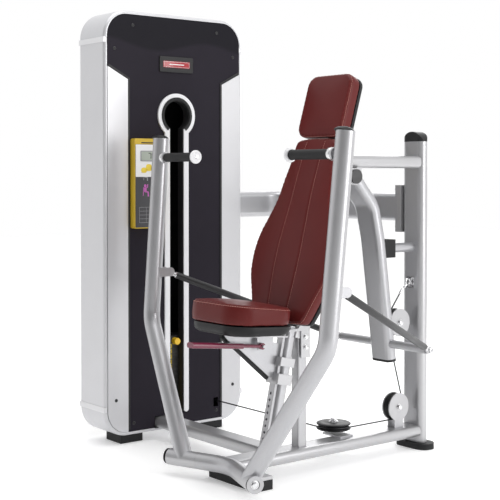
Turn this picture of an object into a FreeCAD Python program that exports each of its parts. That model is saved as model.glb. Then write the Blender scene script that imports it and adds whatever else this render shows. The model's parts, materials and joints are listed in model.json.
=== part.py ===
import FreeCAD, Part, Sketcher
import math
import os
import re
from FreeCAD import Placement, Rotation, Vector

# A seated press machine with a weight-stack tower, in millimetres.
# +Z is up, the user faces -Y, the tower stands on the -X side, and the origin is on the floor at the
# middle of the whole machine's footprint. The press unit's own middle plane is x = press_x.

DIMENSIONS = {
    "press_x": 177,
    # floor frame and rear upright
    "beam_width": 100, "beam_height": 42, "beam_round": 19, "beam_bottom": 44, "beam_rear": 487,
    "tube_wall": 3, "cross_width": 91, "cross_y": -155.5, "cross_end": -640,
    "upright_depth": 45, "upright_round": 22, "upright_bottom": 22, "upright_top": 1145,
    "cap_rise": 37, "rear_foot_length": 160, "rear_foot_width": 80,
    "front_foot_half": 127, "front_foot_front": -360, "front_foot_rear": -290, "foot_height": 33,
    # pivots of the two press arms
    "pivot_z": 62, "pivot_radius": 28, "pivot_shaft_radius": 15, "running_gap": 0.05,
    "pivot_splay": 20, "pivot_seam_x": 120, "pivot_seam_y": -406, "pivot_bow_radius": 170,
    "hub_length": 120, "hub_gap": 0.6, "hub_cap_radius": 26, "shaft_grip": 50,
    # press arms, given for the +X side and mirrored
    "arm_radius": 29.5, "arm_wall": 3, "arm_knee_x": 471, "arm_knee_y": -364, "arm_knee_z": 500,
    "arm_top_x": 489, "arm_top_y": -308, "arm_top_z": 1152, "arm_bend_radius": 120,
    "handle_y": -318, "handle_z": 1083, "handle_bar_radius": 11, "grip_radius": 16,
    "grip_inner_x": 260, "grip_outer_x": 440, "disc_radius": 23.5, "disc_length": 11,
    "collar_radius": 20, "collar_length": 16,
    # links between the arms and the rocker
    "eye_x": 467, "eye_y": -296, "eye_z": 669, "ear_gap": 34, "ear_thick": 4, "ear_radius": 16,
    "link_radius": 12, "rod_end_radius": 14, "rod_end_width": 12, "ball_radius": 9.5,
    "ball_pin_radius": 5, "rod_end_neck": 8, "rod_end_length": 55,
    # rocker, hung under the backrest beam
    "rocker_pivot_y": 141, "rocker_pivot_z": 1015, "rocker_hub_radius": 25, "rocker_axle_radius": 10,
    "rocker_width": 100, "rocker_depth": 45, "rocker_round": 20, "rocker_upper_radius": 100,
    "rocker_lower_radius": 400, "crossbar_y": 336.5, "crossbar_z": 406, "crossbar_half": 219,
    "crossbar_radius": 15.25, "link_plane_x": 234,
    # cable and its pulleys
    "cable_radius": 2.5, "groove_radius": 46, "pulley_radius": 50, "pulley_width": 26,
    "moving_pulley_y": 409, "moving_pulley_z": 475, "base_pulley_y": 404, "base_pulley_z": 163,
    "floor_pulley_x": 120, "floor_pulley_y": 146, "floor_groove_radius": 57, "floor_pulley_radius": 62,
    "guard_thick": 4, "guard_radius": 51, "anchor_y": 447, "anchor_z": 597, "pulley_bore": 8,
    # bumper, backrest beam and the tie to the tower
    "bumper_z": 751, "bumper_arm_radius": 17.5, "bumper_front": 321.5, "bumper_length": 55,
    "backrest_beam_bottom": 1045, "backrest_beam_front": 74, "backrest_beam_height": 45,
    "hanger_thick": 8, "hanger_half": 52,
    "tie_bottom": 845, "tie_height": 105, "tie_depth": 45, "tie_y": 520.5, "tie_bend_radius": 110,
    "flange_bottom": 805, "flange_height": 177, "flange_thick": 15,
    # backrest and headrest, set out in the plane of the pad's front face
    "recline_slope": 0.30, "pad_plane_y": -138, "pad_plane_z": 632,
    "pad_thick": 46, "shell_thick": 22, "headrest_pad_thick": 48, "headrest_width": 230,
    "headrest_low": 546, "headrest_high": 776, "spine_width": 60, "spine_depth": 29,
    "spine_low": -150, "spine_high": 690,
    # seat, its post and its sliding carriage
    "post_lean": 12.5, "post_front_y": -190, "post_front_z": 302, "post_width": 50, "post_depth": 40,
    "rail_width": 30, "rail_depth": 12, "adjust_pitch": 22, "adjust_count": 9, "adjust_radius": 4.5,
    "seat_half": 148, "seat_front": -445, "seat_rear": -179, "seat_corner": 88,
    "lever_x": 207, "lever_y": -257, "lever_z": 451, "lever_rise": 5.9, "lever_length": 294,
    # tower
    "tower_front": -514, "tower_rear": -696, "tower_y": -104, "tower_half": 324, "tower_bottom": 33,
    "tower_top": 1640, "tower_corner": 100, "tower_edge": 12, "tower_lip": 13, "tower_wall": 5,
    "cap_seam": 1525, "base_seam": 141, "trim_height": 20, "trim_proud": 2,
    "panel_thick": 8, "strip_width": 89, "strip_thick": 3, "slot_half": 33, "slot_ring_radius": 86,
    "slot_ring_inner": 62, "slot_leg_half": 55.5, "slot_ring_z": 1250, "slot_bottom": 92,
    "placard_width": 132, "placard_rear": -181, "placard_bottom": 818, "placard_top": 1158,
    "placard_depth": 30, "badge_width": 156, "badge_height": 60, "badge_z": 1448,
    "tower_foot_length": 98, "tower_foot_spread": 191,
    # weight stack
    "stack_x": -605, "plate_width": 300, "plate_depth": 90, "plate_thick": 20, "plate_pitch": 20.7,
    "plate_count": 13, "stack_bottom": 88, "head_plate_thick": 28, "rod_radius": 10, "rod_spread": 110,
    "stem_radius": 9, "pin_radius": 5, "knob_radius": 13.5, "top_pulley_z": 1545, "outlet_y": 89,
    "outlet_groove_radius": 30, "outlet_pulley_radius": 34,
}

doc = FreeCAD.newDocument("PressMachine")
sizes = doc.addObject("Spreadsheet::Sheet", "Sizes")
for row, (word, number) in enumerate(DIMENSIONS.items(), start=1):
    sizes.set(f"A{row}", word)
    sizes.set(f"B{row}", str(number))
    sizes.setAlias(f"B{row}", word)
doc.recompute()


class SheetReader:
    """Reads a driving dimension from the sheet by its word."""

    def __getattr__(self, word):
        return float(sizes.get(word))


dim = SheetReader()
nodes = []
UP = Vector(0, 0, 1)
ALONG_X = Vector(1, 0, 0)
ALONG_Y = Vector(0, 1, 0)


# ---------------------------------------------------------------- helpers

def formula(text):
    """Point each driving dimension's word in a formula at its cell."""
    def cell(match):
        return "Sizes." + match.group() if match.group() in DIMENSIONS else match.group()
    return re.sub(r"[a-z][a-z_]*", cell, str(text))


def bind(thing, **formulas):
    for name, text in formulas.items():
        thing.setExpression(name, formula(text))


def node(thing, label):
    """Name a finished sub-part, which is written to a file of that name."""
    thing.Label = label
    nodes.append(thing)
    return thing


def turn_to(x_axis, z_axis):
    """The rotation that lays local X and Z along two directions."""
    x, z = Vector(x_axis).normalize(), Vector(z_axis).normalize()
    return Rotation(x, z.cross(x), z, "ZXY")


def place(thing, at, x_axis=ALONG_X, z_axis=UP):
    """Place a thing at a point given by three formulas."""
    thing.Placement = Placement(Vector(), turn_to(x_axis, z_axis))
    for letter, text in zip("xyz", at):
        thing.setExpression("Placement.Base." + letter, formula(text))
    return thing


def box(low, high):
    """A box between two corners, each of three formulas."""
    thing = doc.addObject("Part::Box", "Block")
    for side, letter, start, end in zip(("Length", "Width", "Height"), "xyz", low, high):
        thing.setExpression(side, formula(f"({end}) - ({start})"))
        thing.setExpression("Placement.Base." + letter, formula(start))
    return thing


def cylinder(radius, length, at, axis=UP):
    """A cylinder whose radius, length and foot are formulas."""
    thing = doc.addObject("Part::Cylinder", "Round")
    bind(thing, Radius=radius, Height=length)
    across = ALONG_Y if abs(Vector(axis).normalize().dot(ALONG_X)) > 0.9 else ALONG_X
    side = Vector(axis).cross(across).normalize()
    return place(thing, at, side, axis)


def between(radius, start, end):
    """A cylinder from one point to another."""
    start, end = Vector(start), Vector(end)
    return cylinder(radius, (end - start).Length, tuple(start), end - start)


def ball(radius, at):
    thing = doc.addObject("Part::Sphere", "Ball")
    bind(thing, Radius=radius)
    return place(thing, at)


def fuse(*things):
    thing = doc.addObject("Part::MultiFuse", "Joined")
    thing.Shapes = list(things)
    return thing


def cut(base, *tools):
    thing = doc.addObject("Part::Cut", "Trimmed")
    thing.Base = base
    thing.Tool = tools[0] if len(tools) == 1 else fuse(*tools)
    return thing


def common(base, tool):
    thing = doc.addObject("Part::Common", "Shared")
    thing.Base, thing.Tool = base, tool
    return thing


def group(*things):
    """Separate solids that share one node."""
    thing = doc.addObject("Part::Compound", "Set")
    thing.Links = list(things)
    return thing


def new_body():
    """A PartDesign body and a sketch on its own XY plane."""
    body = doc.addObject("PartDesign::Body", "Body")
    return body, sketch_in(body)


def sketch_in(body):
    sketch = body.newObject("Sketcher::SketchObject", "Sketch")
    plane = [item for item in body.Origin.OriginFeatures if item.Role == "XY_Plane"][0]
    sketch.AttachmentSupport = [(plane, "")]
    sketch.MapMode = "FlatFace"
    return sketch


def pad(body, sketch, depth):
    feature = body.newObject("PartDesign::Pad", "Pad")
    feature.Profile = sketch
    bind(feature, Length=depth)
    return feature


def rectangle(sketch, width, height, corner):
    """A constrained rectangle with round corners, centred on the sketch's origin.

    Each size is a (value, formula) pair.
    """
    (w, w_text), (h, h_text), (r, r_text) = width, height, corner
    x, y, first = w / 2, h / 2, sketch.GeometryCount
    ends = [((r - x, y), (x - r, y)), ((x, y - r), (x, r - y)),
            ((x - r, -y), (r - x, -y)), ((-x, r - y), (-x, y - r))]
    for start, end in ends:
        sketch.addGeometry(Part.LineSegment(Vector(*start, 0), Vector(*end, 0)), False)
    for cx, cy, angle in ((x - r, y - r, 0), (x - r, r - y, 270), (r - x, r - y, 180), (r - x, y - r, 90)):
        circle = Part.Circle(Vector(cx, cy, 0), UP, r)
        arc = Part.ArcOfCircle(circle, math.radians(angle), math.radians(angle + 90))
        sketch.addGeometry(arc, False)
    top, right, bottom, left, right_top, right_low, left_low, left_top = range(first, first + 8)
    for line, line_end, arc, arc_end in (
            (top, 2, right_top, 2), (right, 1, right_top, 1), (bottom, 1, right_low, 1),
            (right, 2, right_low, 2), (left, 1, left_low, 1), (bottom, 2, left_low, 2),
            (top, 1, left_top, 1), (left, 2, left_top, 2)):
        sketch.addConstraint(Sketcher.Constraint("Tangent", line, line_end, arc, arc_end))
    for kind, line in (("Horizontal", top), ("Horizontal", bottom), ("Vertical", right), ("Vertical", left)):
        sketch.addConstraint(Sketcher.Constraint(kind, line))
    for arc in (right_low, left_low, left_top):
        sketch.addConstraint(Sketcher.Constraint("Equal", right_top, arc))
    sketch.addConstraint(Sketcher.Constraint("Symmetric", right_top, 3, left_low, 3, -1, 1))
    for constraint, text in (
            (Sketcher.Constraint("Radius", right_top, r), r_text),
            (Sketcher.Constraint("DistanceX", left, 1, right, 1, w), w_text),
            (Sketcher.Constraint("DistanceY", bottom, 1, top, 1, h), h_text)):
        index = sketch.addConstraint(constraint)
        sketch.setExpression(f"Constraints[{index}]", formula(text))


def outline(sketch, steps):
    """A closed outline: each step is a point, or a middle and an end point of an arc."""
    here = steps[-1][-1]
    for step in steps:
        if len(step) == 1:
            sketch.addGeometry(Part.LineSegment(Vector(*here, 0), Vector(*step[0], 0)), False)
        else:
            points = [Vector(*point, 0) for point in (here, *step)]
            sketch.addGeometry(Part.Arc(*points), False)
        here = step[-1]


def polygon(points):
    return [(point,) for point in points]


def slab(steps, depth, at, x_axis=ALONG_X, z_axis=UP):
    """A plate of any outline, as thick as a formula says."""
    body, sketch = new_body()
    outline(sketch, steps)
    pad(body, sketch, depth)
    return place(body, at, x_axis, z_axis)


def side_plate(points, depth, x):
    """A plate in a plane across X, its outline given as (y, z) points."""
    return slab(polygon(points), depth, (x, 0, 0), ALONG_Y, ALONG_X)


def rounded_bar(width, height, corner, length, at, x_axis=ALONG_X, z_axis=UP, wall=None):
    """A bar or, with a wall, a tube of round-cornered section; sizes are dimension words or numbers."""
    def number(word):
        return getattr(dim, word) if isinstance(word, str) else word
    body, sketch = new_body()
    w, h, r = number(width), number(height), number(corner)
    rectangle(sketch, (w, width), (h, height), (r, corner))
    if wall:
        t = number(wall)
        rectangle(sketch, (w - 2 * t, f"{width} - 2 * {wall}"), (h - 2 * t, f"{height} - 2 * {wall}"),
                  (r - t, f"{corner} - {wall}"))
    pad(body, sketch, length)
    return place(body, at, x_axis, z_axis)


def bent_path(points, radii):
    """A wire of straight runs joined by tangent arcs, with one radius for each inner point."""
    points = [Vector(point) for point in points]
    edges, here = [], points[0]
    for before, corner, after, radius in zip(points, points[1:], points[2:], radii):
        inward, outward = (before - corner).normalize(), (after - corner).normalize()
        half = math.pi / 2 - inward.getAngle(outward) / 2
        reach = radius * math.tan(half)
        start, end = corner + inward * reach, corner + outward * reach
        centre = corner + (inward + outward).normalize() * (radius / math.cos(half))
        middle = centre + (corner - centre).normalize() * radius
        edges += [Part.LineSegment(here, start).toShape(), Part.Arc(start, middle, end).toShape()]
        here = end
    edges.append(Part.LineSegment(here, points[-1]).toShape())
    path = doc.addObject("Part::Feature", "Path")
    path.Shape = Part.Wire(edges)
    return path


def sweep(path, section):
    thing = doc.addObject("Part::Sweep", "Swept")
    thing.Sections = [section]
    thing.Spine = (path, [f"Edge{number + 1}" for number in range(len(path.Shape.Edges))])
    thing.Solid = True
    return thing


def swept_round(path, radius):
    """A round bar along a path, its radius a formula."""
    circle = doc.addObject("Part::Circle", "Section")
    bind(circle, Radius=radius)
    start = path.Shape.Edges[0]
    direction = start.tangentAt(start.FirstParameter)
    circle.Placement = Placement(start.valueAt(start.FirstParameter), Rotation(UP, direction))
    return sweep(path, circle)


def swept_section(path, width, height, corner, x_axis):
    """A round-cornered bar along a path; the section's width lies along x_axis."""
    start = path.Shape.Edges[0]
    direction = start.tangentAt(start.FirstParameter)
    section = doc.addObject("Sketcher::SketchObject", "Section")
    rectangle(section, width, height, corner)
    section.Placement = Placement(start.valueAt(start.FirstParameter), turn_to(x_axis, direction))
    return sweep(path, section)


def hex_head(across, length, at, axis):
    """A hexagonal bolt head, its width across corners a number."""
    thing = doc.addObject("Part::Prism", "Hexagon")
    thing.Polygon = 6
    bind(thing, Circumradius=across / 2, Height=length)
    rotation = Rotation(UP, Vector(axis))
    thing.Placement = Placement(Vector(at), rotation)
    return thing


def fillet_edges(body, feature, radius, chosen):
    """Round the edges of a body's last feature that the test chooses."""
    doc.recompute()
    names = [f"Edge{index}" for index, edge in enumerate(feature.Shape.Edges, start=1) if chosen(edge)]
    rounding = body.newObject("PartDesign::Fillet", "Fillet")
    rounding.Base = (feature, names)
    bind(rounding, Radius=radius)
    body.Tip = rounding


# ---------------------------------------------------------------- press arm pivots

splay = math.radians(dim.pivot_splay)
seam = Vector(dim.pivot_seam_x, dim.pivot_seam_y, dim.pivot_z)


def side_point(side, point):
    """Mirror a point of the +X side and move it to the press unit's middle plane."""
    return Vector(dim.press_x + side * point[0], point[1], point[2])


def pivot_direction(side):
    """The direction of an arm's pivot axis, pointing out and forward."""
    return Vector(side * math.cos(splay), -math.sin(splay), 0)


def pivot_point(side, distance):
    """A point on an arm's pivot axis, at a distance outward from the housing's end."""
    return side_point(side, seam) + pivot_direction(side) * distance


housing_apex = Vector(dim.press_x, seam.y + seam.x * math.tan(splay), dim.pivot_z)
housing_path = bent_path([pivot_point(-1, 0), housing_apex, pivot_point(1, 0)], [dim.pivot_bow_radius])
housing_solid = swept_round(housing_path, "pivot_radius")
housing_bore = swept_round(housing_path, "pivot_shaft_radius")
node(cut(housing_solid, housing_bore), "pivot_housing")
node(group(*(between("pivot_shaft_radius", pivot_point(side, -dim.shaft_grip),
                     pivot_point(side, dim.hub_length - 2)) for side in (-1, 1))), "pivot_shafts")

# ---------------------------------------------------------------- floor frame

BEAM_MIDDLE = "beam_bottom + beam_height / 2"


def floor_beam(start, wall=None):
    """The long floor beam from a front end, as a tube or as a solid blank."""
    return rounded_bar("beam_width", "beam_height", "beam_round", f"beam_rear - ({start})",
                       ("press_x", start, BEAM_MIDDLE), ALONG_X, ALONG_Y, wall)


def guard(x, y, z, foot_low, foot_high):
    """One cheek of a pulley bracket: a disc with a stem between two (y, z) corners."""
    disc = cylinder("guard_radius", "guard_thick", (x, y, z), ALONG_X)
    stem = box((x, foot_low[0], foot_low[1]), (f"{x} + guard_thick", foot_high[0], foot_high[1]))
    return fuse(disc, stem)


def cheeks(y, z, foot_low, foot_high):
    """Both cheeks of a pulley bracket, either side of the press unit's middle plane."""
    gap = "pulley_width / 2 + 1.5"
    return [guard(f"press_x + {gap}", y, z, foot_low, foot_high),
            guard(f"press_x - ({gap}) - guard_thick", y, z, foot_low, foot_high)]


BASE_BORE = cylinder("pulley_bore", 80, ("press_x - 40", "base_pulley_y", "base_pulley_z"), ALONG_X)
base_cheeks = cheeks("base_pulley_y", "base_pulley_z", ("base_pulley_y - 22", "beam_bottom + beam_height"),
                     ("base_pulley_y + 22", "base_pulley_z"))
foot_bracket = box(("press_x - front_foot_half", "front_foot_front", "foot_height"),
                   ("press_x + front_foot_half", "front_foot_rear", "beam_bottom"))
floor_pulley_plate = box(("floor_pulley_x - 25", "floor_pulley_y - 30", "beam_bottom + beam_height"),
                         ("press_x + 12", "floor_pulley_y + 30", "beam_bottom + beam_height + 6"))
FLOOR_BORE = cylinder("pulley_bore", 80, ("floor_pulley_x", "floor_pulley_y", "beam_bottom + 20"))
node(cut(fuse(floor_beam("pivot_seam_y + 32", "tube_wall"), foot_bracket, floor_pulley_plate, *base_cheeks),
         housing_solid, BASE_BORE, FLOOR_BORE), "main_beam")

cross_bar = rounded_bar("cross_width", "beam_height", "beam_round", "press_x - 20 - cross_end",
                        ("cross_end", "cross_y", BEAM_MIDDLE), ALONG_Y, ALONG_X, "tube_wall")
node(cut(cross_bar, floor_beam("pivot_seam_y + 60")), "cross_beam")

node(box(("press_x - front_foot_half", "front_foot_front", 0),
         ("press_x + front_foot_half", "front_foot_rear", "foot_height")), "front_foot")
node(rounded_bar("rear_foot_length", "rear_foot_width", 38, "upright_bottom",
                 ("press_x", "beam_rear + upright_depth / 2", 0)), "rear_foot")

upright = rounded_bar("beam_width", "upright_depth", "upright_round", "upright_top - upright_bottom",
                      ("press_x", "beam_rear + upright_depth / 2", "upright_bottom"), wall="tube_wall")
bumper_arm = cylinder("bumper_arm_radius", "beam_rear - bumper_front - bumper_length",
                      ("press_x", "bumper_front + bumper_length", "bumper_z"), ALONG_Y)


def flange(x):
    """One of the two bolted plates between the upright and the tie beam."""
    return box((x, "tie_y - 38", "flange_bottom"), (f"{x} + flange_thick", "tie_y + 30",
                                                   "flange_bottom + flange_height"))


upright_blank = rounded_bar("beam_width", "upright_depth", "upright_round", "upright_top - upright_bottom",
                            ("press_x", "beam_rear + upright_depth / 2", "upright_bottom"))
upright_flange = cut(flange("press_x - beam_width / 2 - flange_thick"), upright_blank)
node(fuse(upright, bumper_arm, upright_flange), "rear_upright")
node(box(("press_x - 26", "bumper_front", "bumper_z - 33"),
         ("press_x + 26", "bumper_front + bumper_length", "bumper_z + 33")), "bumper_block")

cap_base = rounded_bar("beam_width", "upright_depth", "upright_round", 60,
                       ("press_x", "beam_rear + upright_depth / 2", "upright_top"))
cap_arch_radius = (dim.beam_width ** 2 / 4 + dim.cap_rise ** 2) / (2 * dim.cap_rise)
cap_arch = cylinder(cap_arch_radius, "upright_depth",
                    ("press_x", "beam_rear", f"upright_top + cap_rise - {cap_arch_radius}"), ALONG_Y)
node(common(cap_base, cap_arch), "upright_cap")

# ---------------------------------------------------------------- backrest spine, beam and hanger

recline = math.atan(dim.recline_slope)
pad_up = Vector(0, math.sin(recline), math.cos(recline))
pad_back = Vector(0, math.cos(recline), -math.sin(recline))
SPINE_BACK = dim.pad_thick + dim.shell_thick


def on_pad(up, back):
    """A point of the backrest's own frame: so far up its front face and so far behind it."""
    point = Vector(dim.press_x, dim.pad_plane_y, dim.pad_plane_z) + pad_up * up + pad_back * back
    return tuple(point)


def spine(wall=None):
    """The flat tube behind the backrest and headrest, or its solid blank."""
    middle = SPINE_BACK + 2 + dim.spine_depth / 2
    return rounded_bar("spine_width", "spine_depth", 8, "spine_high - spine_low",
                       on_pad(dim.spine_low, middle), ALONG_X, pad_up, wall)


node(spine("tube_wall"), "backrest_spine")

beam_tube = rounded_bar("beam_width", "backrest_beam_height", "beam_round", "beam_rear - backrest_beam_front",
                        ("press_x", "backrest_beam_front", "backrest_beam_bottom + backrest_beam_height / 2"),
                        ALONG_X, ALONG_Y, "tube_wall")
hanger_plate = box(("press_x - hanger_half - hanger_thick", "rocker_pivot_y - 30", "backrest_beam_bottom - 4"),
                   ("press_x + hanger_half + hanger_thick", "rocker_pivot_y + 30", "backrest_beam_bottom"))
hanger_ears = []
for ear_x in ("press_x + hanger_half", "press_x - hanger_half - hanger_thick"):
    hanger_ears.append(cylinder(30, "hanger_thick", (ear_x, "rocker_pivot_y", "rocker_pivot_z"), ALONG_X))
    hanger_ears.append(box((ear_x, "rocker_pivot_y - 30", "rocker_pivot_z"),
                           (f"{ear_x} + hanger_thick", "rocker_pivot_y + 30", "backrest_beam_bottom")))
axle_bore = cylinder("rocker_axle_radius", 160, ("press_x - 80", "rocker_pivot_y", "rocker_pivot_z"), ALONG_X)
node(cut(fuse(beam_tube, hanger_plate, *hanger_ears), spine(), axle_bore), "backrest_beam")

axle = cylinder("rocker_axle_radius", "2 * (hanger_half + hanger_thick)",
                ("press_x - hanger_half - hanger_thick", "rocker_pivot_y", "rocker_pivot_z"), ALONG_X)
axle_ends = [cylinder(25.5, 9, (x, "rocker_pivot_y", "rocker_pivot_z"), ALONG_X)
             for x in ("press_x + hanger_half + hanger_thick", "press_x - hanger_half - hanger_thick - 9")]
node(fuse(axle, *axle_ends), "rocker_axle")

# ---------------------------------------------------------------- tie beam to the tower

flange_x = dim.press_x - dim.beam_width / 2
tie_middle_z = dim.tie_bottom + dim.tie_height / 2
tie_points = [(flange_x - 2 * dim.flange_thick, dim.tie_y, tie_middle_z),
              (dim.stack_x, dim.tie_y, tie_middle_z),
              (dim.stack_x, dim.tower_y + dim.tower_half, tie_middle_z)]
tie_path = bent_path(tie_points, [dim.tie_bend_radius])
TIE_SECTION = ((dim.tie_height, "tie_height"), (dim.tie_depth, "tie_depth"), (20, "20"))
TIE_INSIDE = ((dim.tie_height - 6, "tie_height - 6"), (dim.tie_depth - 6, "tie_depth - 6"), (17, "17"))
tie_tube = cut(swept_section(tie_path, *TIE_SECTION, UP), swept_section(tie_path, *TIE_INSIDE, UP))

node(fuse(tie_tube, flange("press_x - beam_width / 2 - 2 * flange_thick")), "tie_beam")

# ---------------------------------------------------------------- seat post, carriage and lever

lean = math.radians(dim.post_lean)
post_up = Vector(0, math.sin(lean), math.cos(lean))
post_back = Vector(0, math.cos(lean), -math.sin(lean))


def on_post(up, back):
    """A point of the seat post's own frame, from the height where its front edge is measured."""
    point = Vector(dim.press_x, dim.post_front_y, dim.post_front_z) + post_up * up + post_back * back
    return tuple(point)


POST_LOW, POST_HIGH = -260, 215
beam_top = dim.beam_bottom + dim.beam_height
rail_body, rail_sketch = new_body()
rectangle(rail_sketch, (dim.rail_width, "rail_width"), (dim.rail_depth, "rail_depth"), (2, "2"))
pad(rail_body, rail_sketch, POST_HIGH - POST_LOW)
place(rail_body, on_post(POST_LOW, dim.rail_depth / 2), ALONG_X, post_up)
adjust_holes = [between("adjust_radius", on_post(-20 - dim.adjust_pitch * step, -5),
                        on_post(-20 - dim.adjust_pitch * step, dim.rail_depth - 1))
                for step in range(int(dim.adjust_count))]
post_tube = rounded_bar("post_width", "post_depth", 14, POST_HIGH - POST_LOW,
                        on_post(POST_LOW, dim.rail_depth + dim.post_depth / 2), ALONG_X, post_up, "tube_wall")
rear_leg = rounded_bar(40, 40, 8, 454, ("press_x", -68, beam_top), wall="tube_wall")
leg_plate_outline = [(-88, 395), (-88, 488), (-142, 488), (-142, 497), (-102, 497), (-62, 545), (-48, 545),
                     (-48, 395)]
leg_plates = [side_plate(leg_plate_outline, 5, f"press_x + {offset}") for offset in (-35, 30)]
leg_tie = box(("press_x - 30", -64, 400), ("press_x + 30", -56, 440))
post_tie = box(("press_x - 30", -138, 488), ("press_x + 30", -112, 497))
below_beam_top = box(("press_x - 80", -400, 0), ("press_x + 80", 60, beam_top))
node(cut(fuse(post_tube, cut(rail_body, *adjust_holes), rear_leg, *leg_plates, leg_tie, post_tie),
         below_beam_top, spine()), "seat_post")


def post_ring(low, high):
    """A square sleeve that runs on the seat post with a small clearance."""
    depth = dim.rail_depth + dim.post_depth
    outside = rounded_bar(dim.post_width + 14, depth + 14, 5, high - low, on_post(low, depth / 2),
                          ALONG_X, post_up)
    inside = rounded_bar(dim.post_width + 2, depth + 2, 1.5, high - low + 20, on_post(low - 10, depth / 2),
                         ALONG_X, post_up)
    return cut(outside, inside)


# Heights of the seat's sloping faces at its front and rear edges.
PAD_TOP, PAD_BOTTOM, PAN_TOP, PAN_BOTTOM = (612, 578), (541, 523), (540.4, 522.4), (508, 484)


def seat_line(y, front_z, rear_z):
    """The height of a sloping seat surface at a place between its front and rear edges."""
    share = (y - dim.seat_front) / (dim.seat_rear - dim.seat_front)
    return front_z + (rear_z - front_z) * share


def under_pan(y, drop):
    return y, seat_line(y, *PAN_BOTTOM) - drop


# The gusset's rear corner is cut off, to pass below the backrest when the seat is raised.
gusset_edge = [on_post(height, -6)[1:] for height in (148, 40)]
gusset_outline = [under_pan(-392, 0.5), under_pan(-187, 0.5), (-187, 455), gusset_edge[0], gusset_edge[1],
                  (gusset_edge[1][0] - 14, gusset_edge[1][1] - 6), (-335, 448), (-378, 478), (-392, 492)]
gusset = side_plate(gusset_outline, 8, "press_x - 4")
bearer_outline = [under_pan(-400, 0.5), under_pan(-185, 0.5), under_pan(-185, 5.5), under_pan(-400, 5.5)]
pan_bearer = side_plate(bearer_outline, 160, "press_x - 80")
lever_ear = side_plate([(-272, 489), (-242, 489), (-246, 439), (-268, 439)], 5, "lever_x - 12")
lever_pin = cylinder(5, 26, ("lever_x - 12", "lever_y", "lever_z"), ALONG_X)
node(fuse(gusset, pan_bearer, lever_ear, lever_pin, post_ring(14, 50), post_ring(76, 106)), "seat_carriage")


def seat_layer(front, rear, inset):
    """A layer of the seat between two sloping faces, each (front z, rear z), pulled in at the sides."""
    top, bottom = front, rear
    length, width = dim.seat_rear - dim.seat_front - 2 * inset, 2 * dim.seat_half - 2 * inset
    plan = rounded_bar(width, length, dim.seat_corner - inset, 200,
                       ("press_x", "(seat_front + seat_rear) / 2", 450))
    ends = (dim.seat_front - 10, dim.seat_rear + 10)
    side = [(ends[0], seat_line(ends[0], *top)), (ends[1], seat_line(ends[1], *top)),
            (ends[1], seat_line(ends[1], *bottom)), (ends[0], seat_line(ends[0], *bottom))]
    return common(plan, side_plate(side, "2 * seat_half + 20", "press_x - seat_half - 10"))


node(seat_layer(PAN_TOP, PAN_BOTTOM, 3), "seat_pan")
node(seat_layer(PAD_TOP, PAD_BOTTOM, 0), "seat_pad")

lever_hub = cut(cylinder(11, 10, ("lever_x - 5", "lever_y", "lever_z"), ALONG_X),
                cylinder("5 + running_gap", 20, ("lever_x - 10", "lever_y", "lever_z"), ALONG_X))
lever_tilt = math.radians(dim.lever_rise)
lever_ahead = Vector(0, -math.cos(lever_tilt), math.sin(lever_tilt))


def on_lever(distance):
    """A point of the lever, so far ahead of its pivot."""
    return tuple(Vector(dim.lever_x, dim.lever_y, dim.lever_z) + lever_ahead * distance)


lever_rod = between(6, on_lever(9), on_lever(90))
lever_paddle = rounded_bar(34, 18, 8, "lever_length - 88", on_lever(88), ALONG_X, lever_ahead)
node(fuse(lever_hub, lever_rod, lever_paddle), "seat_lever")

# ---------------------------------------------------------------- backrest and headrest

# Half-widths of the backrest at distances up its front face: narrow foot, full shoulders, narrow top.
BACKREST_SIDE = [(-113, 126), (-100, 137), (-21, 168), (27, 191), (68, 202), (130, 205), (192, 194),
                 (255, 164), (319, 137), (387, 128), (453, 112), (518, 107), (541, 94)]


def backrest_outline(inset):
    right = [(half - inset, up) for up, half in BACKREST_SIDE]
    left = [(-x, y) for x, y in reversed(right)]
    return polygon(right + left)


# Local X runs to +X, local Y up the pad and local Z out of its front face.
def pad_slab(steps, back, thick):
    return slab(steps, thick, on_pad(0, back + thick), ALONG_X, pad_back * -1)


node(pad_slab(backrest_outline(0), 0, dim.pad_thick - 0.5), "backrest_pad")
node(pad_slab(backrest_outline(4), dim.pad_thick, dim.shell_thick), "backrest_shell")

headrest_up = (dim.headrest_low + dim.headrest_high) / 2
headrest_high = dim.headrest_high - dim.headrest_low


def headrest_layer(inset, back, thick):
    return rounded_bar(dim.headrest_width - 2 * inset, headrest_high - 2 * inset, 40 - inset, thick,
                       on_pad(headrest_up, back + thick), ALONG_X, pad_back * -1)


node(headrest_layer(0, 0, dim.headrest_pad_thick - 0.5), "headrest_pad")
node(headrest_layer(3, dim.headrest_pad_thick, SPINE_BACK - dim.headrest_pad_thick), "headrest_shell")

# ---------------------------------------------------------------- rocker with its cross bar

# Middle line of the rocker's tube, from its pivot down: (y, z).
rocker_line = [(165, 1013), (256.5, 909), (285, 788), (344, 350)]
rocker_path = bent_path([(dim.press_x, y, z) for y, z in rocker_line],
                        [dim.rocker_upper_radius, dim.rocker_lower_radius])
ROCKER_SECTION = ((dim.rocker_width, "rocker_width"), (dim.rocker_depth, "rocker_depth"),
                  (dim.rocker_round, "rocker_round"))
ROCKER_INSIDE = ((dim.rocker_width - 6, "rocker_width - 6"), (dim.rocker_depth - 6, "rocker_depth - 6"),
                 (dim.rocker_round - 3, "rocker_round - 3"))
rocker_tube = cut(swept_section(rocker_path, *ROCKER_SECTION, ALONG_X),
                  swept_section(rocker_path, *ROCKER_INSIDE, ALONG_X))
rocker_hub = cylinder("rocker_hub_radius", 98, ("press_x - 49", "rocker_pivot_y", "rocker_pivot_z"), ALONG_X)
rocker_bore = cylinder("rocker_axle_radius + running_gap", 120,
                       ("press_x - 60", "rocker_pivot_y", "rocker_pivot_z"), ALONG_X)
crossbar = cylinder("crossbar_radius", "2 * crossbar_half", ("press_x - crossbar_half", "crossbar_y",
                                                            "crossbar_z"), ALONG_X)
crossbar_ends = []
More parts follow.
